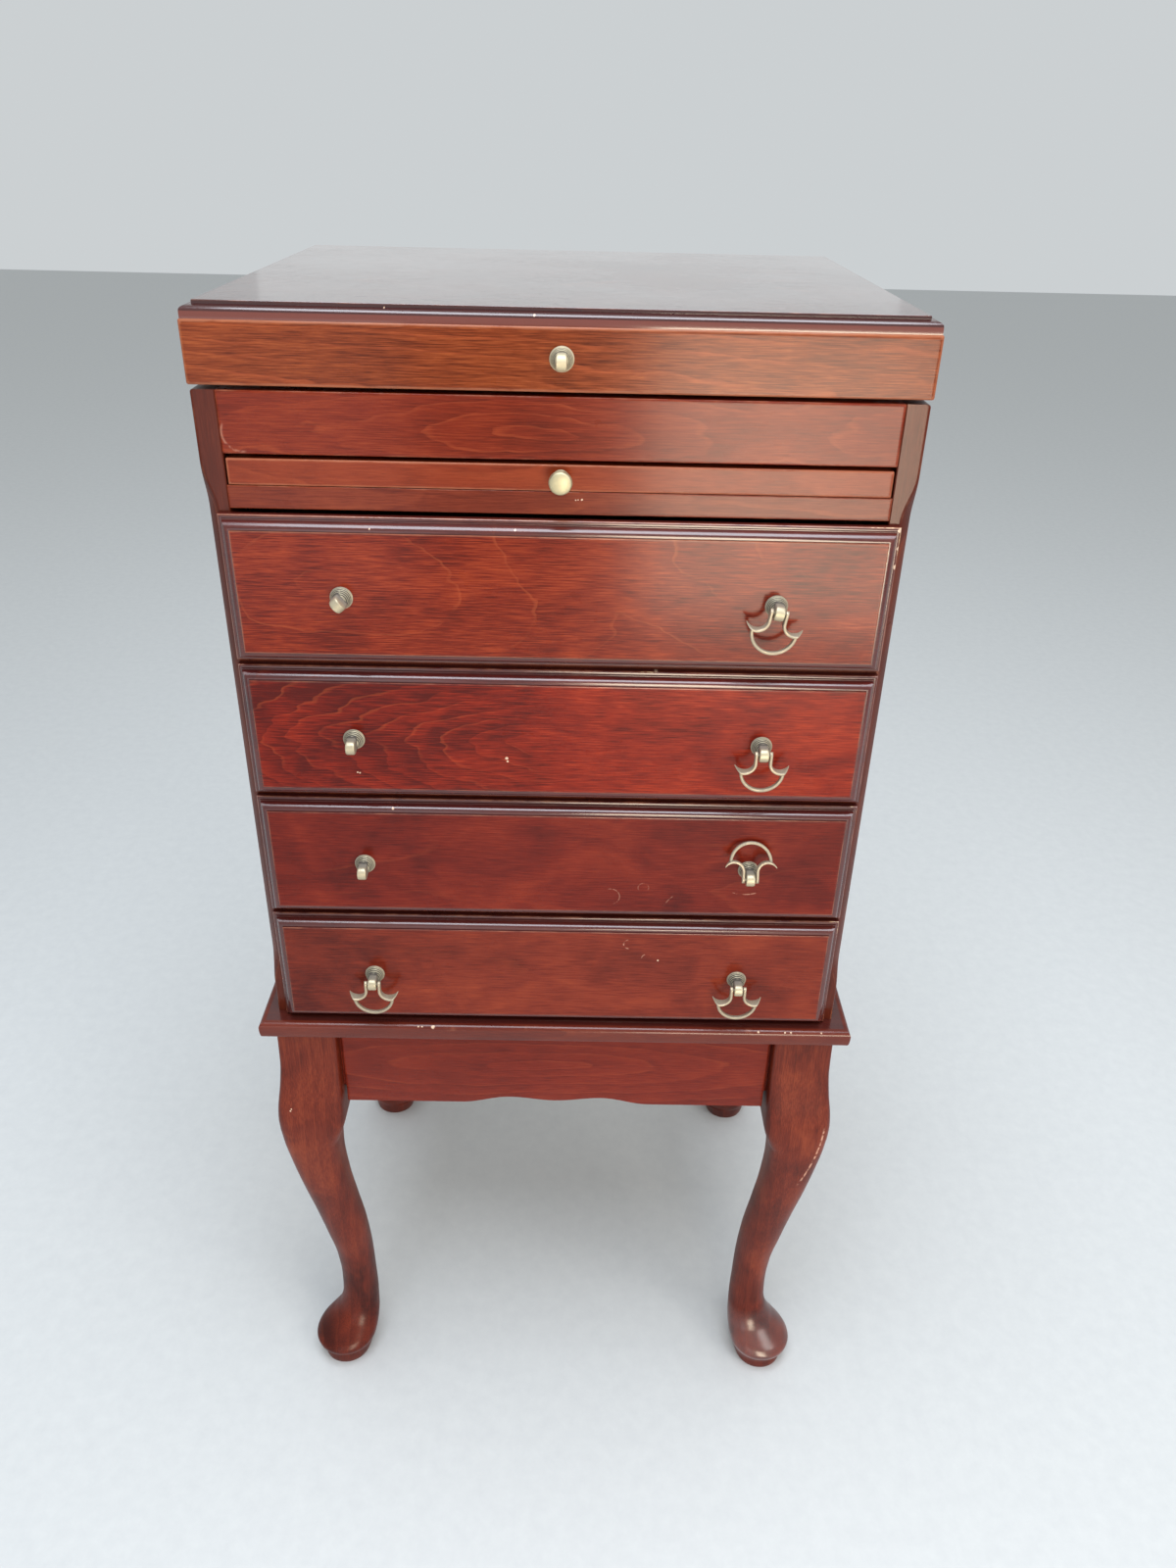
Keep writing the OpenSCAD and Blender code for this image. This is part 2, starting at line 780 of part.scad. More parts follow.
module drawer_front(z) {
  difference() {
    union() {
      translate([0, front_y, z + drawer_h / 2])
        rotate([90, 0, 0])
          front_moulding();
      box(-box_half, box_half, front_y - seat_gap, box_y, z + rise, z + drawer_h - rise);
    }
    box(-box_half + box_t - bottom_in, box_half - box_t + bottom_in, box_y - bottom_in, box_y + 1,
      z + bottom_z, z + bottom_z + bottom_t);
    mirrored_x() stud_bore(pull_x, face_y, z + drawer_h / 2 - pull_drop, stud_len);
  }
}

module drawer_side(z) {
  difference() {
    box(box_half - box_t, box_half, box_y, box_back_y, z + rise, z + rise + box_h);
    box(box_half - groove_depth, box_half + 1, box_y + 10, box_back_y + 1,
      z + runner_mid - runner_h / 2 - run_play, z + runner_mid + runner_h / 2 + run_play);
    box(box_half - box_t - 1, box_half - box_t + bottom_in, box_y - 1, box_back_y + 1,
      z + bottom_z, z + bottom_z + bottom_t);
  }
}

module drawer_sides(z) {
  color(pale)
    mirrored_x() drawer_side(z);
}

module drawer_back(z) {
  color(pale)
    box(-box_half + box_t, box_half - box_t, box_back_y - box_t, box_back_y,
      z + bottom_z + bottom_t, z + rise + box_h);
}

module drawer_bottom(z) {
  color(felt)
    box(-box_half + box_t - bottom_in, box_half - box_t + bottom_in, box_y - bottom_in, box_back_y,
      z + bottom_z, z + bottom_z + bottom_t);
}

// pull post: ribbed collar, lug with a cross hole, stud into the wood
// the collar is a flange and five ribs that grow smaller forward, as parts of its radius and length
rib_step = 0.16;
rib_deep = 0.065;
function rib_top(k) = 0.94 - 0.066 * k - 0.0065 * k * k;
function rib_low(k) = 0.1375 + rib_step * k;
collar_steps = concat(
  [[1, 0], [1, 0.1], [0.97, 0.13]],
  [for (k = [0 : 4])
    each [[rib_top(k) - rib_deep, rib_low(k)], [rib_top(k), rib_low(k) + rib_step * 0.3],
      [rib_top(k) - rib_deep / 4, rib_low(k) + rib_step * 0.7],
      [rib_top(k) - rib_deep, rib_low(k) + rib_step * 0.92]]],
  [[0.45, 0.96], [0.3, 0.985], [0, 1]]);
module post(stud) {
  rotate([90, 0, 0])
    difference() {
      union() {
        rotate_extrude($fn = 64)
          polygon(concat([[0, 0]], [for (p = collar_steps) [p[0] * collar_d / 2, p[1] * collar_len]]));
        translate([-lug_w / 2, -lug_r, collar_len * 0.7])
          cube([lug_w, 2 * lug_r, pivot_out - collar_len * 0.7]);
        translate([-lug_w / 2, 0, pivot_out])
          rotate([0, 90, 0])
            cylinder(r = lug_r, h = lug_w, $fn = 48);
        translate([0, 0, -stud])
          cylinder(r = stud_r, h = stud + 1, $fn = 32);
      }
      translate([-lug_w, 0, pivot_out])
        rotate([0, 90, 0])
          cylinder(r = pin_r + pin_fit, h = 2 * lug_w, $fn = 32);
    }
}

module drawer_posts(z, turn_l = 0, turn_r = 0) {
  color(brass)
    for (p = [[-pull_x, turn_l], [pull_x, turn_r]])
      translate([p[0], face_y, z + drawer_h / 2 - pull_drop])
        rotate([0, p[1], 0])
          post(stud_len - 1);
}

// bail, hanging down from a pivot at the origin
function horn_mid(a) = [prong_x + horn_r - horn_r * cos(a), -prong_drop - horn_r * sin(a)];
function horn_half(a) = strip_t / 2 * (a < 110 ? 1 : 1 - 0.75 * (a - 110) / (90 + horn_end - 110));
module horn() {
  n = 20;
  angles = [for (i = [0 : n]) (90 + horn_end) * i / n];
  outer = [for (a = angles) horn_mid(a) + horn_half(a) * [-cos(a), -sin(a)]];
  inner = [for (i = [n : -1 : 0])
    let (a = angles[i])
    horn_mid(a) + horn_half(a) * [cos(a), sin(a)]];
  tip = bail_w / 2;
  // seen from above the horn widens outward and ends in a slanted cut, longest at the back
  behind = [[0, strip_d / 2], [prong_x + strip_t, strip_d / 2], [prong_x + horn_r * 1.4, horn_d / 2],
    [tip, horn_d / 2]];
  ahead = [[prong_x + horn_r * 1.45, -horn_d / 2], [prong_x + strip_t, -strip_d / 2], [0, -strip_d / 2]];
  intersection() {
    along_y(concat([[prong_x - strip_t / 2, 0]], outer, inner, [[prong_x + strip_t / 2, 0]]),
      -horn_d, horn_d);
    translate([0, 0, -bail_w])
      linear_extrude(height = 2 * bail_w)
        polygon(concat(behind, ahead));
  }
}

module half_ring() {
  mid = ring_d / 2 - ring_wire / 2;
  n = 16;
  section = [for (i = [0 : n - 1])
    let (c = cos(360 * i / n), s = sin(360 * i / n))
    [mid + ring_wire / 2 * sign(c) * pow(abs(c), 0.7), ring_deep / 2 * sign(s) * pow(abs(s), 0.7)]];
  translate([0, 0, -ring_drop])
    rotate([90, 0, 0])
      rotate([0, 0, 180])
        rotate_extrude(angle = 180, $fn = 96)
          polygon(section);
}

module bail() {
  color(brass)
    union() {
      mirrored_x() {
        horn();
        translate([prong_x - strip_t / 2, 0, 0])
          rotate([0, 90, 0])
            cylinder(r = eye_r, h = strip_t, $fn = 40);
        translate([1, 0, 0])
          rotate([0, 90, 0])
            cylinder(r = pin_r, h = prong_x - 1, $fn = 32);
      }
      half_ring();
    }
}

module hung_bail(x, z, swing, turn = 0) {
  translate([x, face_y - pivot_out, z + drawer_h / 2 - pull_drop])
    rotate([0, turn, 0])
      rotate([-swing, 0, 0])
        bail();
}

module drawer_1_front() { color(wood) drawer_front(drawer_1_z); }
module drawer_1_sides() { drawer_sides(drawer_1_z); }
module drawer_1_back() { drawer_back(drawer_1_z); }
module drawer_1_bottom() { drawer_bottom(drawer_1_z); }
module drawer_1_posts() { drawer_posts(drawer_1_z, left_turn, right_turn); }
module drawer_2_front() { color(wood) drawer_front(drawer_2_z); }
module drawer_2_sides() { drawer_sides(drawer_2_z); }
module drawer_2_back() { drawer_back(drawer_2_z); }
module drawer_2_bottom() { drawer_bottom(drawer_2_z); }
module drawer_2_posts() { drawer_posts(drawer_2_z); }
module drawer_3_front() { color(wood) drawer_front(drawer_3_z); }
module drawer_3_sides() { drawer_sides(drawer_3_z); }
module drawer_3_back() { drawer_back(drawer_3_z); }
module drawer_3_bottom() { drawer_bottom(drawer_3_z); }
module drawer_3_posts() { drawer_posts(drawer_3_z); }
module drawer_4_front() { color(wood) drawer_front(drawer_4_z); }
module drawer_4_sides() { drawer_sides(drawer_4_z); }
module drawer_4_back() { drawer_back(drawer_4_z); }
module drawer_4_bottom() { drawer_bottom(drawer_4_z); }
module drawer_4_posts() { drawer_posts(drawer_4_z); }
module bail_1_right() { hung_bail(pull_x, drawer_1_z, 0, right_turn); }
module bail_2_right() { hung_bail(pull_x, drawer_2_z, 0); }
module bail_3_right() { hung_bail(pull_x, drawer_3_z, 180 + bail_lean); }
module bail_4_left() { hung_bail(-pull_x, drawer_4_z, 0); }
module bail_4_right() { hung_bail(pull_x, drawer_4_z, 0); }

leg_front_left();
leg_front_right();
leg_rear_left();
leg_rear_right();
apron_front();
apron_back();
apron_left();
apron_right();
corner_braces();
base_plate();
side_left();
side_right();
back_panel();
back_rail();
front_panel();
compartment_floor();
compartment_lining();
slide_rail();
slide_guides();
drawer_rails();
drawer_runners();
lid_top();
lid_front();
lid_left();
lid_right();
lid_back();
lid_lining();
lid_post();
hinge_case_leaves();
hinge_lid_leaves();
hinge_pins();
slide_front();
slide_board();
slide_knob();
drawer_1_front();
drawer_1_sides();
drawer_1_back();
drawer_1_bottom();
drawer_1_posts();
drawer_2_front();
drawer_2_sides();
drawer_2_back();
drawer_2_bottom();
drawer_2_posts();
drawer_3_front();
drawer_3_sides();
drawer_3_back();
drawer_3_bottom();
drawer_3_posts();
drawer_4_front();
drawer_4_sides();
drawer_4_back();
drawer_4_bottom();
drawer_4_posts();
bail_1_right();
bail_2_right();
bail_3_right();
bail_4_left();
bail_4_right();
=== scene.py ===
"""Looks of the jewelry cabinet: lacquered mahogany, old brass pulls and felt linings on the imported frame.

Metres, +Z up, the front faces -Y. Every new piece is a surface worked out with numpy.
"""
import math

import bpy
import numpy as np
from mathutils import Matrix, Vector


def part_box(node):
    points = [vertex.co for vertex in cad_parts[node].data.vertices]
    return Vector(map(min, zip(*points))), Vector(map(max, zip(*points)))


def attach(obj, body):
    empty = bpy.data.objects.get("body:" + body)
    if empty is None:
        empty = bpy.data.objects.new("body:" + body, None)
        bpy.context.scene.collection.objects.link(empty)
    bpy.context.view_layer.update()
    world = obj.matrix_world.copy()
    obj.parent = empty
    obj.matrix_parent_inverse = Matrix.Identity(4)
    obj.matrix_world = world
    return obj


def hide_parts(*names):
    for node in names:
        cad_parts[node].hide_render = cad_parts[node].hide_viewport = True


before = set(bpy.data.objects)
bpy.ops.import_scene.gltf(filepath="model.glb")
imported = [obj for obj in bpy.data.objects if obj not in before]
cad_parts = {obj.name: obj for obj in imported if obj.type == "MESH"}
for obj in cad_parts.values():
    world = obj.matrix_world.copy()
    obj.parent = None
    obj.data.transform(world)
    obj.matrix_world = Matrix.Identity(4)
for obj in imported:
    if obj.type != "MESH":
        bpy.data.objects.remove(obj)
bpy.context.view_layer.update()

MM = 0.001


def reach_of(node, axis):
    """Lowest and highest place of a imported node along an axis, in metres."""
    return tuple(float(corner["xyz".index(axis)]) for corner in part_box(node))


# places that the pieces share, in metres
IN_W = reach_of("front_panel", "x")[1]
CASE_TOP = reach_of("front_panel", "z")[1]
HALF_W = reach_of("side_right", "x")[1]
FRONT_Y, BACK_Y = reach_of("side_right", "y")
BASE_HALF = reach_of("base_plate", "x")[1]
BASE_FRONT, BASE_BACK = reach_of("base_plate", "y")
BASE_LOW, BASE_TOP = reach_of("base_plate", "z")
LID_HALF = reach_of("lid_front", "x")[1]
LID_Y = reach_of("lid_front", "y")[0]
LID_LOW, LID_HIGH = reach_of("lid_front", "z")
APRON_LOW, APRON_TOP = reach_of("apron_front", "z")
LEG_H = reach_of("leg_front_left", "z")[1]
SLIDE_LOW = reach_of("slide_front", "z")[0]
DRAWERS = (1, 2, 3, 4)
DRAWER_Z = {i: reach_of(f"drawer_{i}_front", "z")[0] for i in DRAWERS}
DRAWER_H = reach_of("drawer_1_front", "z")[1] - DRAWER_Z[1]
DRAWER_HALF = reach_of("drawer_1_front", "x")[1]
FACE_Y = reach_of("drawer_1_front", "y")[0]
# the pulls: off the middle, below a drawer's middle, and their pivot off the face
PULL_X = 141.5 * MM
PULL_DROP = 1.5 * MM
PIVOT_OUT = 13.2 * MM


# surfaces

def quads(rows, cols, wrap=True):
    """Four-cornered faces of a grid of rows by cols points, closed across the columns when wrap is set."""
    i = np.arange(rows - 1)[:, None]
    j = np.arange(cols if wrap else cols - 1)[None, :]
    a = i * cols + j
    b = i * cols + (j + 1) % cols
    return np.stack([a, b, b + cols, a + cols], -1).reshape(-1, 4).tolist()


def enclosed(points, faces):
    """Six times the volume inside four-cornered faces, above nought where they face outward: the sum of the
    corner products about the middle."""
    a, b, c, d = np.moveaxis(points[np.asarray(faces)] - points.mean(0), 1, 0)
    return (a * np.cross(b, c)).sum() + (a * np.cross(c, d)).sum()


def loft(rings, marks=None):
    """A closed shell through a stack of rings, each ring a closed line of points: the ends are capped flat, and
    the volume inside tells which way the faces turn. A mark is given for each ring or for each point."""
    rings = np.asarray(rings, float)
    m, n, _ = rings.shape
    points = rings.reshape(-1, 3)
    faces = quads(m, n)
    inside_out = enclosed(points, faces) < 0
    faces += [list(range(n - 1, -1, -1)), list(range((m - 1) * n, m * n))]
    if inside_out:
        faces = [face[::-1] for face in faces]
    filled = {key: np.broadcast_to(np.asarray(value, float).reshape(m, -1), (m, n)).reshape(-1)
              for key, value in (marks or {}).items()}
    return points, faces, filled


def join(shells):
    """Several shells as one mesh; a mark that a shell lacks counts as nought there."""
    keys = sorted({k for s in shells for k in s[2]})
    points, faces, marks, start = [], [], {k: [] for k in keys}, 0
    for p, f, m in shells:
        points.append(p)
        faces += [[i + start for i in face] for face in f]
        for k in keys:
            marks[k].append(m.get(k, np.zeros(len(p))))
        start += len(p)
    return np.concatenate(points), faces, {k: np.concatenate(v) for k, v in marks.items()}


def make(name, shells, material, body, stands_for=(), crisp=38):
    """Puts shells into one mesh object, smooth but for edges that turn by more than crisp degrees, and hangs it
    on a body."""
    points, faces, marks = join(shells)
    mesh = bpy.data.meshes.new(name)
    mesh.from_pydata(points.tolist(), [], faces)
    for key, values in marks.items():
        mesh.attributes.new(key, "FLOAT", "POINT").data.foreach_set("value", values.astype(np.float32))
    mesh.polygons.foreach_set("use_smooth", np.ones(len(mesh.polygons), bool))
    mesh.set_sharp_from_angle(angle=math.radians(crisp))
    mesh.materials.append(material)
    piece = bpy.data.objects.new(name, mesh)
    bpy.context.scene.collection.objects.link(piece)
    if stands_for:
        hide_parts(*stands_for)
    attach(piece, body)
    return piece


def soft_rect(a0, a1, b0, b1, r, k=4):
    """Closed line round a rectangle whose corners are quarter circles of radius r, k steps each."""
    t = np.radians(np.linspace(0, 90, k + 1))
    c, s = np.cos(t) * r, np.sin(t) * r
    corners = (((c, s), (a1 - r, b1 - r)), ((-s, c), (a0 + r, b1 - r)),
               ((-c, -s), (a0 + r, b0 + r)), ((s, -c), (a1 - r, b0 + r)))
    return np.concatenate([np.stack(arc, -1) + np.array(mid) for arc, mid in corners])


def soft_line(count, power):
    """Closed line of count points between a square and a circle: the cosine and the sine, each raised to power
    with its sign kept."""
    a = np.linspace(0, 2 * np.pi, count, endpoint=False)
    both = np.stack([np.cos(a), np.sin(a)], -1)
    return np.sign(both) * np.abs(both) ** power


def eased_board(low, high, ease=0.8 * MM, band=1.2 * MM, across=None):
    """A board with every edge rounded: soft rectangles stacked along the axis across, drawn in at both faces by a
    quarter circle; where across isn't given it is the thickness.

    The mark edge is 1 on the rounded edges and falls to nought a little way onto the faces."""
    low, high = np.asarray(low, float), np.asarray(high, float)
    across = int(np.argmin(high - low)) if across is None else across
    p, q = [k for k in range(3) if k != across]
    t = np.radians(np.linspace(0, 90, 5))
    inset = np.concatenate([[ease + band], ease * (1 - np.sin(t)), [0]])
    depth = np.concatenate([[0], ease * (1 - np.cos(t)), [ease + band]])
    mark = np.concatenate([[0], 0.6 + 0.4 * np.sin(2 * t), [0]])
    levels = np.concatenate([low[across] + depth, high[across] - depth[::-1]])
    insets = np.concatenate([inset, inset[::-1]])
    marks = np.concatenate([mark, mark[::-1]])
    rings = []
    for level, draw in zip(levels, insets):
        line = soft_rect(low[p] + draw, high[p] - draw, low[q] + draw, high[q] - draw, ease)
        ring = np.zeros((len(line), 3))
        ring[:, p], ring[:, q], ring[:, across] = line[:, 0], line[:, 1], level
        rings.append(ring)
    corner = np.tile(np.sin(np.radians(np.linspace(0, 180, 5))) * 0.8 + 0.1, 4)
    rounded = ((marks > 0) | (insets == 0))[:, None]
    return loft(rings, {"edge": np.maximum(marks[:, None], np.where(rounded, corner[None, :], 0))})


def stepped_panel(rects):
    """Rings of a panel with a moulding that runs round it and meets in mitres: each row of rects is a rectangle
    (a0, a1, b0, b1, height), and neighbours are joined corner to corner. Points come as (a, b, height)."""
    r = np.asarray(rects, float)
    return r[:, [[0, 2, 4], [1, 2, 4], [1, 3, 4], [0, 3, 4]]]


def quarter_round(x0, y0, a, b, n):
    """Points on a quarter of an ellipse from (x0, y0), where it is steep, to (x0 + a, y0 + b), where it is flat."""
    t = np.radians(np.linspace(0, 90, n + 1))
    return np.stack([x0 + a - a * np.cos(t), y0 + b * np.sin(t)], -1)


def flow(at, knots, values):
    """A smooth curve through values at knots that never overshoots: cubic spans whose slope at a knot is the
    harmonic mean of the grades beside it, or nought where the curve turns."""
    knots, values = np.asarray(knots, float), np.asarray(values, float)
    grade = np.diff(values) / np.diff(knots)
    left, right = grade[:-1], grade[1:]
    turn = left * right <= 0
    mean = np.where(turn, 0, 2 * left * right / np.where(turn, 1, left + right))
    slope = np.concatenate([[grade[0]], mean, [grade[-1]]])
    i = np.clip(np.searchsorted(knots, at, side="right") - 1, 0, len(knots) - 2)
    w = knots[i + 1] - knots[i]
    t = (at - knots[i]) / w
    return (values[i] * (1 + 2 * t) * (1 - t) ** 2 + w * slope[i] * t * (1 - t) ** 2
            + values[i + 1] * t * t * (3 - 2 * t) + w * slope[i + 1] * t * t * (t - 1))


def lathe(profile, turns=64):
    """A turned form about the Z axis from (radius, height) points; ends of nought radius close it."""
    profile = np.asarray(profile, float)
    a = np.linspace(0, 2 * np.pi, turns, endpoint=False)
    radius = np.maximum(profile[:, :1], 1e-5)
    height = np.broadcast_to(profile[:, 1:2], (len(profile), turns))
    return np.stack([radius * np.cos(a), radius * np.sin(a), height], -1)


def lay(ring, order, base=(0, 0, 0)):
    """Turns (a, b, height) points into x, y, z: order gives for each world axis which of the three it takes and
    its sign."""
    return np.stack([ring[..., k] * sign + start for (k, sign), start in zip(order, base)], -1)


# a stands along X, b along Z and the height comes forward
FORWARD = ((0, 1), (2, -1), (1, 1))


# node helpers

class Tree:
    """Short hands for building a shader node tree."""

    def __init__(self, tree):
        self.tree = tree

    def add(self, kind, **props):
        made = self.tree.nodes.new(kind)
        for key, value in props.items():
            setattr(made, key, value)
        return made

    def feed(self, socket, value):
        if isinstance(value, bpy.types.NodeSocket):
            self.tree.links.new(value, socket)
        else:
            socket.default_value = value

    def math(self, op, *values):
        made = self.add("ShaderNodeMath", operation=op)
        for k, value in enumerate(values):
            self.feed(made.inputs[k], value)
        return made.outputs[0]

    def vector(self, op, *values):
        made = self.add("ShaderNodeVectorMath", operation=op)
        for k, value in enumerate(values):
            self.feed(made.inputs[k], value)
        return made.outputs["Value"] if op in ("LENGTH", "DISTANCE", "DOT_PRODUCT") else made.outputs[0]

    def noise(self, at, scale, detail=2.0, rough=0.5, twist=0.0):
        made = self.add("ShaderNodeTexNoise")
        self.feed(made.inputs["Vector"], self.vector("MULTIPLY", at, scale))
        for key, value in (("Scale", 1.0), ("Detail", detail), ("Roughness", rough), ("Distortion", twist)):
            made.inputs[key].default_value = value
        return made.outputs

    def span(self, value, low, high, to_low=0.0, to_high=1.0, smooth=True):
        made = self.add("ShaderNodeMapRange", interpolation_type="SMOOTHSTEP" if smooth else "LINEAR")
        for k, v in enumerate((value, low, high, to_low, to_high)):
            self.feed(made.inputs[k], v)
        return made.outputs[0]

    def mix(self, share, a, b):
        made = self.add("ShaderNodeMix", data_type="RGBA")
        made.clamp_factor = True
        self.feed(made.inputs[0], share)
        for socket, value in ((made.inputs[6], a), (made.inputs[7], b)):
            self.feed(socket, value if isinstance(value, bpy.types.NodeSocket) else (*value, 1.0)[:4])
        return made.outputs[2]

    def ramp(self, value, stops):
        made = self.add("ShaderNodeValToRGB")
        bar = made.color_ramp
        while len(bar.elements) < len(stops):
            bar.elements.new(0.5)
        for element, (at, colour) in zip(bar.elements, stops):
            element.position = at
            element.color = (*colour, 1.0)
        self.feed(made.inputs[0], value)
        return made.outputs[0]

    def split(self, vector):
        made = self.add("ShaderNodeSeparateXYZ")
        self.feed(made.inputs[0], vector)
        return made.outputs

    def build(self, x, y, z):
        made = self.add("ShaderNodeCombineXYZ")
        for k, value in enumerate((x, y, z)):
            self.feed(made.inputs[k], value)
        return made.outputs[0]

    def mark(self, name):
        return self.add("ShaderNodeAttribute", attribute_name=name).outputs["Fac"]

    def sway(self, value, about, share):
        """value plus what about stands above or below one half, times share."""
        return self.math("ADD", value, self.math("MULTIPLY", self.math("SUBTRACT", about, 0.5), share))

    def bump(self, shader, strength, distance, height):
        made = self.add("ShaderNodeBump")
        made.inputs["Strength"].default_value = strength
        made.inputs["Distance"].default_value = distance
        self.feed(made.inputs["Height"], height)
        self.feed(shader.inputs["Normal"], made.outputs[0])

    def group(self, which, **values):
        made = self.add("ShaderNodeGroup", node_tree=which)
        for key, value in values.items():
            self.feed(made.inputs[key.replace("_", " ")], value)
        return made.outputs


def new_group(name, inputs, outputs):
    """An empty node group with named sockets: inputs as (name, kind, value), outputs as (name, kind)."""
    group = bpy.data.node_groups.new(name, "ShaderNodeTree")
    for label, kind, value in inputs:
        socket = group.interface.new_socket(name=label, in_out="INPUT", socket_type="NodeSocket" + kind)
        if value is not None:
            socket.default_value = value
    for label, kind in outputs:
        group.interface.new_socket(name=label, in_out="OUTPUT", socket_type="NodeSocket" + kind)
    tree = Tree(group)
    return group, tree, tree.add("NodeGroupInput").outputs, tree.add("NodeGroupOutput").inputs


def figure_group():
    """Flat-sawn figure. Vector is in metres with its first axis along the grain. The growth rings are nested
    ovals round two eyes, drawn out along the grain by Taper, Ring apart, shaken by Wave."""
    group, t, i, o = new_group(
        "mahogany figure",
        [("Vector", "Vector", None), ("Shift", "Vector", (0, 0, 0)), ("Eye A", "Vector", (0, 0, 0)),
         ("Eye B", "Vector", (1, 0, 0)), ("Taper", "Float", 0.14), ("Ring", "Float", 0.012), ("Wave", "Float", 0.008)],
        [("Tone", "Float"), ("Line", "Float"), ("Streak", "Float"), ("Pore", "Float"), ("Blotch", "Float")])
    at = t.vector("ADD", i["Vector"], i["Shift"])
    shake = t.noise(at, (9, 26, 26), 3, 0.55)["Color"]
    wobble = t.noise(at, (50, 130, 130), 2, 0.5)["Color"]
    slow = t.vector("SUBTRACT", shake, (0.5, 0.5, 0.5))
    quick = t.vector("MULTIPLY", t.vector("SUBTRACT", wobble, (0.5, 0.5, 0.5)), (0.13, 0.13, 0.13))
    both = t.vector("ADD", slow, quick)
    shaken = t.split(t.vector("MULTIPLY", both, t.build(i["Wave"], i["Wave"], i["Wave"])))

    def oval(eye):
        d = t.split(t.vector("SUBTRACT", i["Vector"], eye))
        across = t.math("ADD", d[1], shaken[0])
        drawn = t.math("ADD", t.math("MULTIPLY", d[0], i["Taper"]), shaken[1])
        return t.math("SQRT", t.math("ADD", t.math("MULTIPLY", across, across), t.math("MULTIPLY", drawn, drawn)))

    near = t.math("SMOOTH_MIN", oval(i["Eye A"]), oval(i["Eye B"]), 0.012)
    rings = t.math("ADD", t.math("DIVIDE", near, i["Ring"]), t.math("MULTIPLY", t.noise(at, (4, 9, 9), 1)[0], 0.9))
    part = t.math("FRACT", rings)
    fade = t.span(t.noise(at, (16, 30, 30), 2)[0], 0.38, 0.66)
    t.feed(o["Tone"], t.math("MULTIPLY", part, t.span(part, 1.0, 0.93)))
    room = t.math("MULTIPLY", t.math("SUBTRACT", 1.0, part), i["Ring"])
    thin = t.math("MULTIPLY", t.span(room, 0.0015, 0.0006), t.span(room, 0.0, 0.0002))
    t.feed(o["Line"], t.math("MULTIPLY", thin, fade))
    t.feed(o["Streak"], t.noise(at, (55, 1400, 1400), 3, 0.6)[0])
    t.feed(o["Pore"], t.span(t.noise(at, (120, 2600, 2600), 2, 0.5)[0], 0.58, 0.72))
    t.feed(o["Blotch"], t.noise(at, (17, 26, 26), 3, 0.55, 0.6)[0])
    return group


def wear_and_highlight_group():
    """Arrises rubbed and chipped, the rubbed part paler by wear and by a painted highlight: Edge marks them, a coarse
    and a fine noise break the mark up, and Spot is a place of heavier wear with a soft rim Spot Size wide."""
    group, t, i, o = new_group(
        "rubbed and highlit edges",
        [("Vector", "Vector", None), ("Edge", "Float", 0.0), ("Rub", "Float", 0.5), ("Chip", "Float", 0.3),
         ("Spot", "Vector", (9, 9, 9)), ("Spot Size", "Float", 0.03)],
        [("Rubbed And Highlight", "Float"), ("Chipped", "Float")])
    coarse = t.noise(i["Vector"], (60, 60, 60), 3, 0.6)[0]
    fine = t.noise(i["Vector"], (210, 330, 330), 4, 0.65)[0]
    close = t.span(t.vector("DISTANCE", i["Vector"], i["Spot"]), i["Spot Size"], 0.0)
    worn = t.math("ADD", t.math("MULTIPLY", coarse, 1.3), t.math("SUBTRACT", i["Rub"], 0.75))
    rub_and_highlight = t.math("MULTIPLY", i["Edge"], worn)
    # rubbed arrises: paler by wear and by a painted highlight
    t.feed(o["Rubbed And Highlight"], t.span(rub_and_highlight, 0.12, 0.62))
    broken = t.math("ADD", t.math("MULTIPLY", fine, 0.8), t.math("MULTIPLY", coarse, 0.5))
    broken = t.math("ADD", broken, t.math("MULTIPLY", close, 0.42))
    chip = t.math("MULTIPLY", i["Edge"], t.math("ADD", broken, t.math("SUBTRACT", i["Chip"], 0.5)))
    t.feed(o["Chipped"], t.span(chip, 0.66, 0.74))
    return group


def arc_group():
    """A fine scratch along part of a circle: near Radius from Centre, on the side that Toward points to."""
    group, t, i, o = new_group(
        "arc scratch",
        [("Vector", "Vector", None), ("Centre", "Vector", (0, 0, 0)), ("Radius", "Float", 0.02),
         ("Width", "Float", 0.0005), ("Toward", "Vector", (0, 0, -1)), ("Reach", "Float", 0.6)],
        [("Scratch", "Float")])
    away = t.vector("SUBTRACT", i["Vector"], i["Centre"])
    off = t.math("ABSOLUTE", t.math("SUBTRACT", t.vector("LENGTH", away), i["Radius"]))
    side = t.vector("DOT_PRODUCT", t.vector("NORMALIZE", away), i["Toward"])
    broken = t.span(t.noise(i["Vector"], (260, 260, 260), 2)[0], 0.36, 0.56)
    full = t.math("ADD", t.math("MULTIPLY", i["Reach"], 0.6), 0.4)
    line = t.math("MULTIPLY", t.span(off, i["Width"], 0.0), t.span(side, i["Reach"], full))
    t.feed(o["Scratch"], t.math("MULTIPLY", line, broken))
    return group


def speck_group():
    """A small bare speck: a blot round Place, about Size across, with a ragged rim."""
    group, t, i, o = new_group(
        "bare speck", [("Vector", "Vector", None), ("Place", "Vector", (9, 9, 9)), ("Size", "Float", 0.001)],
        [("Speck", "Float")])
    ragged = t.noise(i["Vector"], (700, 700, 700), 2)[0]
    off = t.sway(t.vector("DISTANCE", i["Vector"], i["Place"]), ragged, i["Size"])
    t.feed(o["Speck"], t.span(off, i["Size"], t.math("MULTIPLY", i["Size"], 0.6)))
    return group


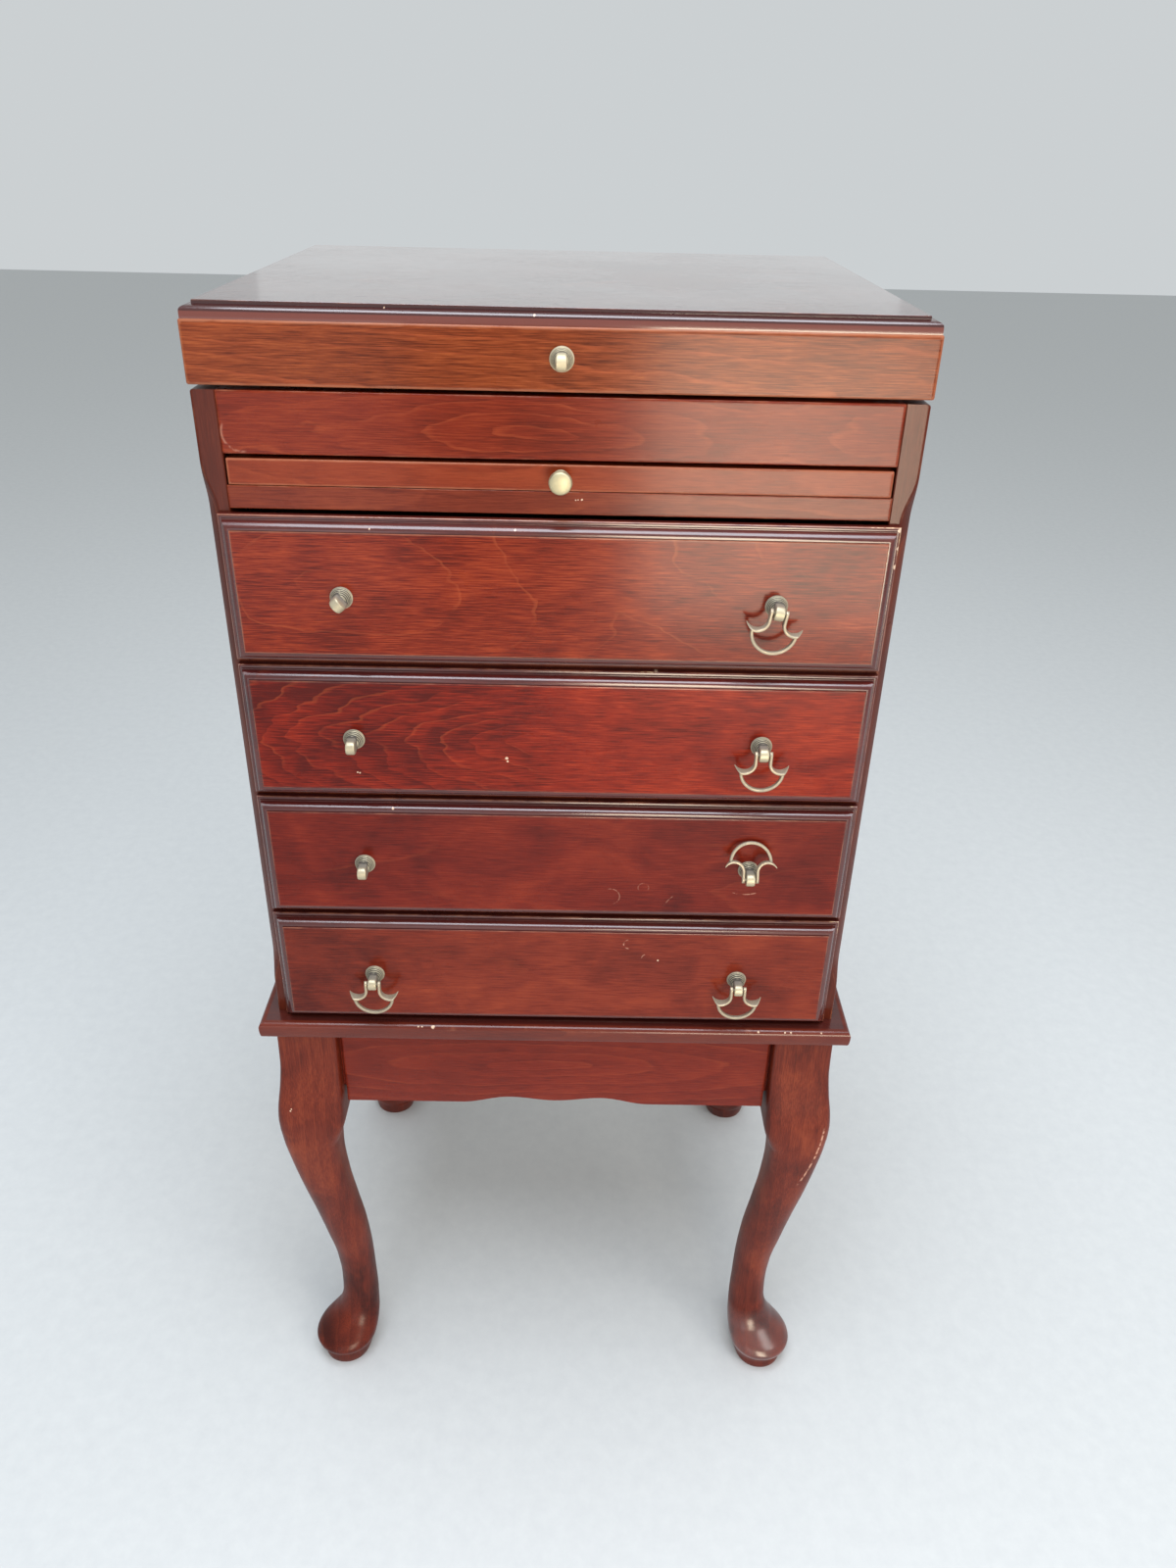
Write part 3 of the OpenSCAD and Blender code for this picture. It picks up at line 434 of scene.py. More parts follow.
def lacquer_group():
    """Aged lacquer: slow and fine changes of gloss."""
    group, t, i, o = new_group(
        "aged lacquer", [("Vector", "Vector", None), ("Gloss", "Float", 0.3)], [("Roughness", "Float")])
    slow = t.span(t.noise(i["Vector"], (7, 7, 9), 3, 0.6)[0], 0.3, 0.7, -0.05, 0.07)
    fine = t.span(t.noise(i["Vector"], (90, 90, 120), 3, 0.6)[0], 0.3, 0.7, -0.02, 0.03)
    t.feed(o["Roughness"], t.math("ADD", i["Gloss"], t.math("ADD", slow, fine)))
    return group


FIGURE = figure_group()
WEAR_AND_HIGHLIGHT = wear_and_highlight_group()
ARC = arc_group()
SPECK = speck_group()
LACQUER = lacquer_group()


def start_material(name):
    """A new material with its tree, shader and Object coordinates."""
    material = bpy.data.materials.new(name)
    material.use_nodes = True
    tree = Tree(material.node_tree)
    shader = material.node_tree.nodes["Principled BSDF"]
    return material, tree, shader, tree.add("ShaderNodeTexCoord").outputs["Object"]


# stain from deep to orange, ring lines, mouldings and the strip under one, then rubbed arrises paled further by a
# painted highlight, bare, scratched and flecked wood
DEEP = (0.058, 0.0040, 0.0014)
RED = (0.160, 0.0136, 0.0038)
ORANGE = (0.275, 0.037, 0.0092)
LINE = (0.40, 0.082, 0.024)
MOULD = (0.042, 0.0085, 0.0085)
STRIP = (0.135, 0.030, 0.020)
# colour of the rubbed arrises, whose paleness is partly a painted highlight
RUB_AND_HIGHLIGHT = (0.42, 0.165, 0.09)
BARE = (0.72, 0.52, 0.29)
SCRATCHED = (0.62, 0.34, 0.24)
FLECK = (0.60, 0.43, 0.31)
# a place far off the cabinet
NOWHERE = (9, 9, 9)


def mahogany(name, board, eye_a, eye_b, taper, ring, figure, line, rub_and_highlight, chip, axes="xzy", wave=0.010,
             tones=(DEEP, RED, ORANGE), streak=0.55, blotch=0.5, reach=(8, 9), dark_end=(-9, -8, 0), gloss=0.30,
             spot=NOWHERE, spot_size=0.03, scratches=(), specks=(), speck_y=FRONT_Y, speck_depth=0.01,
             mould=0.0, mould_coat=None, strip=False, coat=0.2, coat_rough=0.16):
    """Stained mahogany under lacquer. board gives each board its own part of the plank. axes names the grain axis,
    then the one across it, then the one into the board. eye_a and eye_b, along and across the grain, are the middles
    of the figure.

    Tone, streak and blotch shade from deep red-brown to orange; ring lines are paler, and the rubbed arrises paler
    still, by wear and by a painted highlight. The figure fades out over reach, and dark_end darkens one end by its
    last number; both lie off the board unless given. The mark frame darkens a moulding by the share mould and gives it
    the lacquer mould_coat, the mark warm reddens the plain strip under one, and the mark edge wears them and paints
    the highlight on their arrises.

    A scratch is (centre, radius, width, the way to its side, least share of that way, strength). A speck, (x, z,
    size), sits at the depth speck_y, of which only the share speck_depth counts, so that it follows a moulding but
    stays off the far side."""
    material, t, shader, at = start_material(name)
    xyz = dict(zip("xyz", t.split(at)))
    grain = t.build(*[xyz[a] for a in axes])
    along = xyz[axes[0]]
    fig = t.group(FIGURE, Vector=grain, Shift=(board, 0, 0), Eye_A=(*eye_a, 0), Eye_B=(*eye_b, 0), Taper=taper,
                  Ring=ring, Wave=wave)
    kept = t.span(along, reach[1], reach[0])
    value = t.sway(0.5, fig["Tone"], t.math("MULTIPLY", kept, figure))
    value = t.sway(value, fig["Streak"], streak)
    value = t.sway(value, fig["Blotch"], blotch)
    value = t.math("SUBTRACT", value, t.span(along, dark_end[1], dark_end[0], 0.0, dark_end[2]))
    colour = t.ramp(value, list(zip((0.12, 0.5, 0.88), tones)))
    colour = t.mix(t.math("MULTIPLY", fig["Line"], t.math("MULTIPLY", kept, line)), colour, LINE)
    colour = t.mix(t.math("MULTIPLY", fig["Pore"], 0.35), colour, tones[0])
    if mould:
        colour = t.mix(t.math("MULTIPLY", t.mark("frame"), mould), colour, MOULD)
    if strip:
        colour = t.mix(t.mark("warm"), colour, STRIP)
    worn = t.group(WEAR_AND_HIGHLIGHT, Vector=at, Edge=t.mark("edge"), Rub=rub_and_highlight, Chip=chip, Spot=spot, Spot_Size=spot_size)
    # paler arrises: rubbed wear and a painted highlight
    colour = t.mix(t.math("MULTIPLY", worn["Rubbed And Highlight"], 0.46), colour, RUB_AND_HIGHLIGHT)
    colour = t.mix(worn["Chipped"], colour, BARE)
    for centre, radius, width, toward, least, strength in scratches:
        mark = t.group(ARC, Vector=at, Centre=centre, Radius=radius, Width=width, Toward=toward, Reach=least)
        colour = t.mix(t.math("MULTIPLY", mark["Scratch"], strength), colour, SCRATCHED)
    for x, z, size in specks:
        flat = t.vector("MULTIPLY", at, (1, speck_depth, 1))
        place = (x, speck_depth * speck_y, z)
        colour = t.mix(t.group(SPECK, Vector=flat, Place=place, Size=size)["Speck"], colour, FLECK)
    age = t.group(LACQUER, Vector=at, Gloss=gloss)
    t.feed(shader.inputs["Base Color"], colour)
    rough = t.math("ADD", age["Roughness"], t.math("MULTIPLY", worn["Chipped"], 0.35))
    t.feed(shader.inputs["Roughness"], rough)
    shader.inputs["Specular IOR Level"].default_value = 0.05
    shader.inputs["Coat Weight"].default_value = coat
    if mould_coat is not None:
        t.feed(shader.inputs["Coat Weight"], t.span(t.mark("frame"), 0.0, 1.0, coat, mould_coat, False))
    shader.inputs["Coat Roughness"].default_value = coat_rough
    shader.inputs["Coat IOR"].default_value = 1.75
    sunk = t.math("ADD", fig["Pore"], worn["Chipped"])
    t.bump(shader, 0.25, 0.0003, t.math("SUBTRACT", t.math("MULTIPLY", fig["Streak"], 0.5), sunk))
    return material


PALE_WOOD = ((0.20, 0.105, 0.045), (0.33, 0.19, 0.085), (0.45, 0.29, 0.15))


def plain_wood(name, axes="yxz", tones=PALE_WOOD):
    """Unstained inside wood: straight grain with soft rings, little sheen."""
    material, t, shader, at = start_material(name)
    xyz = dict(zip("xyz", t.split(at)))
    fig = t.group(FIGURE, Vector=t.build(*[xyz[a] for a in axes]), Shift=(3, 1, 2), Eye_A=(0.4, 0.05, 0),
                  Eye_B=(-0.6, -0.08, 0), Taper=0.10, Ring=0.008, Wave=0.006)
    fine = t.math("ADD", t.math("MULTIPLY", fig["Streak"], 0.45), t.math("MULTIPLY", fig["Blotch"], 0.2))
    value = t.math("ADD", t.math("MULTIPLY", fig["Tone"], 0.35), fine)
    colour = t.ramp(value, list(zip((0.25, 0.5, 0.8), tones)))
    t.feed(shader.inputs["Base Color"], t.mix(t.math("MULTIPLY", fig["Pore"], 0.3), colour, tones[0]))
    t.feed(shader.inputs["Roughness"], t.group(LACQUER, Vector=at, Gloss=0.55)["Roughness"])
    t.bump(shader, 0.3, 0.0003, t.math("SUBTRACT", fig["Streak"], fig["Pore"]))
    return material


STAIN = (0.045, 0.043, 0.037)


def old_brass(name, bright, dull, gloss=0.42, skin=0.3, metal=0.2, rubbed_metal=0.6):
    """Aged brass: dull grey-green skin with brighter rubbed places (mark edge) and dark dirt in hollows (mark
    hollow), and fine drawn lines."""
    material, t, shader, at = start_material(name)
    slow = t.noise(at, (160, 160, 160), 3, 0.6)[0]
    fine = t.noise(at, (900, 900, 900), 3, 0.6)[0]
    lines = t.noise(at, (1500, 500, 90), 3, 0.6)[0]
    hollow = t.mark("hollow")
    shown = t.math("ADD", t.math("MULTIPLY", t.span(slow, 0.32, 0.62), skin), t.math("MULTIPLY", t.mark("edge"), 0.9))
    shown = t.sway(shown, lines, 0.9)
    dirt = t.span(t.math("ADD", hollow, t.math("MULTIPLY", fine, 0.5)), 0.55, 1.15)
    t.feed(shader.inputs["Base Color"], t.mix(dirt, t.mix(shown, dull, bright), STAIN))
    t.feed(shader.inputs["Metallic"], t.span(shown, 0.0, 1.0, metal, rubbed_metal, False))
    dullness = t.math("ADD", t.span(slow, 0.3, 0.7, 0.10, -0.04), t.math("MULTIPLY", hollow, 0.25))
    t.feed(shader.inputs["Roughness"], t.math("ADD", gloss, dullness))
    t.bump(shader, 0.2, 0.0002, fine)
    return material


FELT_TONES = ((0.055, 0.004, 0.008), (0.12, 0.008, 0.016), (0.22, 0.03, 0.04))


def felt(name):
    """Dark red felt: short fibres lying every way, worn a little paler in places."""
    material, t, shader, at = start_material(name)
    fibre = t.noise(at, (1500, 1500, 1500), 4, 0.7, 1.5)[0]
    slow = t.noise(at, (22, 22, 22), 3, 0.6)[0]
    value = t.math("ADD", t.math("MULTIPLY", fibre, 0.7), t.math("MULTIPLY", slow, 0.3))
    t.feed(shader.inputs["Base Color"], t.ramp(value, list(zip((0.3, 0.52, 0.75), FELT_TONES))))
    t.feed(shader.inputs["Roughness"], t.span(fibre, 0.2, 0.8, 0.85, 1.0))
    shader.inputs["Sheen Weight"].default_value = 0.4
    shader.inputs["Sheen Roughness"].default_value = 0.5
    t.bump(shader, 0.5, 0.0006, fibre)
    return material


# finishes of this cabinet

# deep, middle and pale tone of each wood
PURPLE = ((0.024, 0.0065, 0.0045), (0.060, 0.0140, 0.0085), (0.105, 0.0280, 0.0150))
BROWN = ((0.064, 0.0086, 0.0017), (0.170, 0.0290, 0.0060), (0.285, 0.063, 0.0148))
DRAWER_2 = ((0.0655, 0.0029, 0.0011), (0.186, 0.0108, 0.0029), (0.322, 0.0305, 0.0072))
DRAWER_3 = ((0.051, 0.0028, 0.0015), (0.122, 0.0086, 0.0036), (0.200, 0.021, 0.0072))
DRAWER_4 = ((0.060, 0.0058, 0.0030), (0.152, 0.0180, 0.0076), (0.240, 0.037, 0.0130))
PANEL = ((0.064, 0.0051, 0.0014), (0.158, 0.0152, 0.0039), (0.250, 0.036, 0.0088))
SLIDE = ((0.084, 0.0095, 0.0029), (0.196, 0.0270, 0.0076), (0.285, 0.053, 0.0152))
RAIL = ((0.058, 0.0067, 0.0028), (0.143, 0.0200, 0.0074), (0.225, 0.042, 0.0140))
SIDE = ((0.033, 0.0055, 0.0028), (0.083, 0.0140, 0.0066), (0.145, 0.030, 0.0115))
BASE = ((0.050, 0.0066, 0.0037), (0.125, 0.0185, 0.0086), (0.195, 0.037, 0.0150))
APRON = ((0.057, 0.0046, 0.0021), (0.146, 0.0132, 0.0048), (0.230, 0.029, 0.0092))
LEG = ((0.040, 0.0045, 0.0020), (0.120, 0.0158, 0.0064), (0.222, 0.041, 0.0150))

# moulded fronts; worn places lie on the lip, a little proud of the case
FRONTS = dict(mould=0.75, mould_coat=0.82)
LIP_Y = FRONT_Y - 4 * MM
wood_drawer = {
    1: mahogany("mahogany drawer 1", 1, eye_a=(-0.142, 0.814), eye_b=(0.20, 0.856),
                taper=0.5, ring=0.026, figure=0.06, line=0.26, rub_and_highlight=0.72, chip=0.22,
                wave=0.026, streak=1.7, blotch=0.9, spot=(0.217, LIP_Y, 0.852), spot_size=0.045,
                specks=((0.1305, 0.8605, 0.0019), (0.1345, 0.8604, 0.0013), (0.2165, 0.857, 0.0017),
                        (0.2172, 0.845, 0.0014), (0.2172, 0.833, 0.0019), (-0.1204, 0.853, 0.0006),
                        (-0.0284, 0.854, 0.0008)), **FRONTS),
    2: mahogany("mahogany drawer 2", 2, eye_a=(-0.018, 0.698), eye_b=(0.9, 0.72),
                taper=0.36, ring=0.0085, figure=0.20, line=0.2, rub_and_highlight=0.5, chip=0.17,
                wave=0.030, tones=DRAWER_2, streak=1.5, blotch=1.0, reach=(-0.055, 0.02),
                dark_end=(-0.22, 0.16, 0.24), spot=(0.06, FRONT_Y - 0.006, 0.757), spot_size=0.02,
                specks=((0.0663, 0.7566, 0.0017), (0.0926, 0.757, 0.0012), (-0.0359, 0.691, 0.0012),
                        (-0.0352, 0.6885, 0.0009), (-0.1411, 0.6777, 0.0008), (-0.1395, 0.6773, 0.0007)),
                **FRONTS),
    3: mahogany("mahogany drawer 3", 3, eye_a=(-0.5, 0.62), eye_b=(0.5, 0.58),
                taper=0.10, ring=0.016, figure=0.08, line=0.08, rub_and_highlight=0.52, chip=0.17,
                wave=0.014, tones=DRAWER_3, streak=1.0, blotch=1.1, dark_end=(-0.20, -0.06, 0.10),
                spot=(0.217, LIP_Y, 0.650), spot_size=0.018, specks=((-0.1184, 0.647, 0.0010),),
                scratches=(((0.1405, FACE_Y, 0.606), 0.0275, 0.0008, (0, 0, -1), 0.94, 0.5),
                           ((0.0402, FACE_Y, 0.5745), 0.0070, 0.0006, (0.95, 0, 0.3), -0.1, 0.28),
                           ((0.0647, FACE_Y, 0.5830), 0.0040, 0.0006, (0, 0, 1), -0.7, 0.20),
                           ((0.1079, FACE_Y, 0.5540), 0.0300, 0.0006, (-0.83, 0, 0.56), 0.975, 0.30)),
                **FRONTS),
    4: mahogany("mahogany drawer 4", 4, eye_a=(-0.55, 0.50), eye_b=(0.6, 0.52),
                taper=0.09, ring=0.018, figure=0.07, line=0.06, rub_and_highlight=0.5, chip=0.17,
                wave=0.012, tones=DRAWER_4, streak=1.0, blotch=0.95, dark_end=(-0.20, -0.08, 0.20),
                spot=(0.217, LIP_Y, 0.545), spot_size=0.03, specks=((0.0790, 0.5147, 0.0009),),
                scratches=(((0.0561, FACE_Y, 0.5300), 0.0042, 0.0007, (-1, 0, 0), -0.1, 0.7),
                           ((0.0702, FACE_Y, 0.5165), 0.0040, 0.0006, (-0.3, 0, 0.95), 0.3, 0.45)), **FRONTS),
}
LID_FIGURE = dict(eye_a=(-0.7, 0.93), eye_b=(0.75, 1.02), taper=0.05, ring=0.0065, wave=0.011, tones=BROWN,
                  figure=0.12, streak=1.5, line=0.3, chip=0.1)
wood_lid = mahogany("mahogany lid boards", 5, rub_and_highlight=0.8, **LID_FIGURE)
wood_lid_side = mahogany("mahogany lid sides", 6, rub_and_highlight=0.5, axes="yzx", **LID_FIGURE)
wood_top = mahogany("mahogany top", 7, eye_a=(-0.3, 0.05), eye_b=(0.6, -0.05),
                    taper=0.12, ring=0.016, figure=0.13, line=0.12, rub_and_highlight=0.4, chip=0.14, axes="xyz",
                    wave=0.012, tones=PURPLE, streak=0.9, gloss=0.24, mould=0.85, mould_coat=0.82, strip=True,
                    coat=1.0, coat_rough=0.10, specks=((-0.105, 0.9815, 0.0006), (-0.0164, 0.9797, 0.0008)))
wood_panel = mahogany("mahogany front panel", 8, eye_a=(-0.03, 0.911), eye_b=(0.30, 0.917),
                      taper=0.15, ring=0.0080, figure=0.14, line=0.18, rub_and_highlight=0.4, chip=0.08,
                      wave=0.022, tones=PANEL, streak=1.0,
                      scratches=(((-0.1975, FRONT_Y, 0.9085), 0.0115, 0.0012, (-0.8, 0, -0.6), 0.35, 0.28),))
STRAIGHT = dict(eye_a=(-0.9, 0.87), eye_b=(0.9, 0.89), taper=0.05, ring=0.007, line=0.15)
wood_slide = mahogany("mahogany slide", 9, tones=SLIDE, figure=0.1, streak=0.7, rub_and_highlight=0.85, chip=0.2, **STRAIGHT)
wood_rail = mahogany("mahogany rail", 10, tones=RAIL, figure=0.12, streak=0.9, rub_and_highlight=0.35, chip=0.08,
                     specks=((0.0135, 0.8713, 0.0008), (0.0111, 0.8711, 0.0005), (0.0096, 0.8709, 0.0005)),
                     **STRAIGHT)
wood_side = mahogany("mahogany sides", 11, eye_a=(0.75, 0.02), eye_b=(0.1, -0.12),
                     taper=0.10, ring=0.014, figure=0.14, line=0.15, rub_and_highlight=0.35, chip=0.08,
                     axes="zyx", wave=0.012, tones=SIDE)
wood_base = mahogany("mahogany base plate", 12, eye_a=(-0.3, 0.05), eye_b=(0.6, -0.05),
                     taper=0.10, ring=0.016, figure=0.12, line=0.15, rub_and_highlight=0.08, chip=0.12,
                     axes="xyz", tones=BASE, mould=0.7, mould_coat=0.75, spot=(-0.222, FRONT_Y - 0.007, 0.447),
                     spot_size=0.02, speck_y=BASE_FRONT + 0.0013, speck_depth=1.0,
                     specks=((-0.0983, 0.4463, 0.0018), (-0.1100, 0.4464, 0.0009), (-0.1070, 0.4464, 0.0009),
                             (0.1634, 0.4463, 0.0010), (0.1848, 0.4462, 0.0009), (0.1896, 0.4462, 0.0009),
                             (0.2141, 0.4462, 0.0008)))
APRON_FIGURE = dict(eye_a=(-0.02, 0.392), eye_b=(0.55, 0.40), taper=0.14, ring=0.0095, wave=0.012, tones=APRON,
                    figure=0.14, streak=0.8, line=0.14, rub_and_highlight=0.3, chip=0.05)
wood_apron = mahogany("mahogany aprons", 13, **APRON_FIGURE)
wood_apron_side = mahogany("mahogany side aprons", 14, axes="yzx", **APRON_FIGURE)


def leg_wood(name, board, dark=0.12, **more):
    """Mahogany with the grain up the leg, a little duller than the case and darker towards the foot."""
    return mahogany(name, board, eye_a=(0.9, 0.25), eye_b=(0.9, -0.25),
                    taper=0.05, ring=0.0085, figure=0.10, line=0.04, rub_and_highlight=0.2, chip=0.0, axes="zxy",
                    wave=0.008, tones=LEG, streak=0.8, blotch=1.1, dark_end=(0.0, 0.24, dark), gloss=0.36,
                    coat_rough=0.28, **more)


wood_leg = leg_wood("mahogany rear legs", 15)
wood_leg_left = leg_wood("mahogany front left leg", 16, 0.3,
                         specks=((-0.2231, 0.3493, 0.0009), (-0.2222, 0.3512, 0.0007)))
# the right toe, marked frame, has kept its lacquer
wood_leg_right = leg_wood("mahogany front right leg", 17, mould_coat=1.0,
                          scratches=(((-0.0553, -0.2816, 0.3462), 0.3, 0.0014, (0.9363, 0.3165, -0.1525), 0.991,
                                      0.85),))
inner_wood = plain_wood("inside wood")
inner_cross = plain_wood("inside wood across", axes="xyz")
back_wood = plain_wood("back panel wood", axes="zxy",
                       tones=((0.10, 0.045, 0.020), (0.17, 0.080, 0.036), (0.24, 0.125, 0.060)))
brass_pull = old_brass("brass pulls", (0.44, 0.365, 0.258), (0.252, 0.222, 0.170))
brass_post = old_brass("brass posts", (0.47, 0.41, 0.285), (0.225, 0.208, 0.172), skin=0.2)
brass_lid_post = old_brass("brass lid post", (0.57, 0.49, 0.33), (0.36, 0.315, 0.212), gloss=0.55, skin=0.4)
brass_knob = old_brass("brass knob", (0.54, 0.48, 0.31), (0.42, 0.38, 0.24), gloss=0.5, skin=0.6, metal=0.4,
                       rubbed_metal=0.9)
brass_hinge = old_brass("brass hinges", (0.60, 0.47, 0.24), (0.36, 0.28, 0.16), gloss=0.34, skin=0.8, metal=0.8,
                        rubbed_metal=0.9)
felt_red = felt("red felt")


# wooden pieces

# inset, proud of the case, edge, frame
FRONT_PROFILE = np.concatenate([
    [[0.00, 0.30, 0.1, 1], [0.00, 3.50, 0.2, 1], [0.10, 4.02, 0.8, 1], [0.40, 4.52, 1.0, 1], [0.88, 4.85, 0.5, 1],
     [1.50, 4.98, 0.1, 1], [2.10, 5.00, 0.0, 1.1], [2.30, 5.00, 0.0, 1.2], [2.50, 5.00, 0.0, 1.3],
     [2.50, 5.85, 0.2, 1.1], [2.62, 6.06, 0.6, 1], [2.85, 6.10, 0.2, 1.1], [3.20, 6.10, 0.0, 1.2]],
    [[x, y, 0.06, 0.95] for x, y in quarter_round(3.2, 6.1, 4.5, 5.3, 14)[1:]],
    [[8.15, 11.40, 0.0, 1.1], [8.40, 11.40, 0.0, 1.2], [8.40, 12.05, 0.35, 0.9], [8.47, 12.36, 1.0, 0.6],
     [8.75, 12.50, 0.85, 0.4], [9.30, 12.50, 0.25, 0.12], [10.2, 12.50, 0.0, 0.0]]])
# the block behind the front, which fits into the case
BLOCK_HALF = reach_of("drawer_1_sides", "x")[1]
BLOCK_STEP = 6 * MM
BLOCK_DEEP = 10 * MM


def drawer_front(i):
    """A lipped front: rectangles drawn in from the edge by the profile's inset and stood forward by its height,
    behind them the block that fits into the case."""
    z0, z1 = DRAWER_Z[i], DRAWER_Z[i] + DRAWER_H
    inset, proud, edge, framed = FRONT_PROFILE.T
    block = (-BLOCK_HALF, BLOCK_HALF, z0 + BLOCK_STEP, z1 - BLOCK_STEP)
    rects = [(*block, -BLOCK_DEEP), (*block, proud[0] * MM)]
    rects += [(-DRAWER_HALF + d, DRAWER_HALF - d, z0 + d, z1 - d, h) for d, h in zip(inset * MM, proud * MM)]
    rings = lay(stepped_panel(rects), FORWARD, (0, FRONT_Y, 0))
    shell = loft(rings, {"edge": [0, 0, *edge], "frame": [0, 1, *framed]})
    make(f"drawer_{i}_face", [shell], wood_drawer[i], f"drawer_{i}", [f"drawer_{i}_front"], crisp=30)


def edged_plate(name, half, front, back, low, profile, all_round, plain, material, body, node):
    """A flat board with a moulded edge: rectangles drawn in by the profile at the front and both sides, and at
    the back when all_round is set. The mark warm is 1 up to the height plain, in millimetres."""
    profile = np.array(profile)
    rects = [(-half + d, half - d, front + d, back - d * all_round, low + h) for d, h in profile[:, :2] * MM]
    marks = {"edge": profile[:, 2], "frame": profile[:, 3], "warm": profile[:, 1] <= plain}
    make(name, [loft(stepped_panel(rects), marks)], material, body, [node], crisp=30)


# inset, height, edge, frame
TOP_PROFILE = [
    [1.1, 0.0, 0.0, 0.4], [1.1, 4.0, 0.1, 0.4], [1.18, 4.5, 0.5, 1],
    *[[x, y, 0.08, 1] for x, y in quarter_round(1.2, 4.6, 6.2, 3.0, 12)[1:]],
    [7.4, 9.0, 0.3, 0.9], [7.5, 9.55, 0.9, 0.6], [7.85, 9.8, 0.6, 0.35], [9.5, 9.8, 0.0, 0.0]]
BASE_PROFILE = [
    *[[1.5 - y, x, 0.05, 0.3] for x, y in quarter_round(0, 0, 8.4, 1.5, 8)], [0, 9.0, 0.2, 0.3],
    *[[x, y, 0.3 + 0.7 * (0 < k < 10), 0.3] for k, (x, y) in enumerate(quarter_round(0, 9.5, 4.5, 4.5, 10))][1:],
    [5.6, 14.0, 0.2, 1], [7.5, 14.0, 0.0, 1]]

# the chamfer starts above the base, ends below the case's top and swells along a run
CHAMFER_FOOT, CHAMFER_HEAD, CHAMFER_RUN = BASE_TOP + 29 * MM, CASE_TOP - 43 * MM, 31 * MM
CHAMFER_LEAST, CHAMFER_MORE = 0.7 * MM, 6.8 * MM
SIDE_EASE = 2 * MM
RABBET_WIDE, RABBET_DEEP = 7 * MM, 5 * MM


def side_board(name, sign, node):
    """A case side: its plan section carried up the height. The front outer corner is cut back by a chamfer that
    swells from nothing and dies away again along a cosine, and the top outer edge is drawn in by a quarter
    circle."""
    brow = CASE_TOP - SIDE_EASE
    foot, head, run = CHAMFER_FOOT, CHAMFER_HEAD, CHAMFER_RUN
    spans = ((BASE_TOP, foot, 4), (foot, foot + run, 22), (foot + run, head - run, 8), (head - run, head, 22),
             (head, brow, 4))
    over = brow + SIDE_EASE * np.sin(np.radians(np.linspace(0, 90, 7)))
    z = np.unique(np.concatenate([np.linspace(*span) for span in spans] + [over]))
    up, down = np.clip((z - foot) / run, 0, 1), np.clip((head - z) / run, 0, 1)
    cut = CHAMFER_LEAST + CHAMFER_MORE * (0.5 - 0.5 * np.cos(np.pi * up)) * (0.5 - 0.5 * np.cos(np.pi * down))
    rise = np.clip((z - brow) / SIDE_EASE, 0, 1)
    outer = HALF_W - SIDE_EASE * (1 - np.sqrt(1 - rise ** 2))
    front, side = outer - cut, FRONT_Y + cut
    # across, back, edge; front and side are the two ends of the chamfer
    section = [
        (IN_W, FRONT_Y + 0.6 * MM, 0.3), (IN_W + 0.6 * MM, FRONT_Y, 0.3),
        (front - 1.2 * MM, FRONT_Y, 0.0), (front - 0.3 * MM, FRONT_Y, 0.8),
        (front + 0.2 * MM, FRONT_Y + 0.2 * MM, 0.8), (outer - cut / 2, FRONT_Y + cut / 2, 0.1),
        (outer - 0.2 * MM, side - 0.2 * MM, 0.8), (outer, side + 0.3 * MM, 0.8), (outer, side + 1.4 * MM, 0.0),
        (outer, BACK_Y - 1 * MM, 0.1), (outer - 0.6 * MM, BACK_Y, 0.4), (IN_W + RABBET_WIDE, BACK_Y, 0.0),
        (IN_W + RABBET_WIDE, BACK_Y - RABBET_DEEP, 0.0), (IN_W, BACK_Y - RABBET_DEEP, 0.0)]
    rings = np.stack([np.stack(np.broadcast_arrays(sign * x, y, z), -1) for x, y, _ in section], 1)
    edge = np.maximum([e for _, _, e in section], np.where(rise > 0.2, 0.6, 0.0)[:, None])
    make(name, [loft(rings, {"edge": edge})], wood_side, "cabinet", [node], crisp=30)


ARCH, DIP = 6.5 * MM, 3 * MM
# parts of the half length: where the arch is highest, and how far it takes to fall
ARCH_AT, ARCH_FALL = 0.22, 0.23
APRON_THICK = 18 * MM
APRON_EASE = 0.9 * MM


def scalloped_line(half, arched):
    """Lower edge of an apron: two cosine arches with a dip between them, flat towards the ends."""
    x = np.linspace(-half, half, 121)
    part = np.abs(x) / half
    inner = DIP + (ARCH - DIP) * (1 - np.cos(np.pi * part / ARCH_AT)) / 2
    outer = ARCH * (1 + np.cos(np.pi * np.clip((part - ARCH_AT) / ARCH_FALL, 0, 1))) / 2
    return x, APRON_LOW + np.where(part < ARCH_AT, inner, outer) * arched


def unit(rows):
    """Each row drawn to a length of one."""
    return rows / np.linalg.norm(rows, axis=1, keepdims=True)


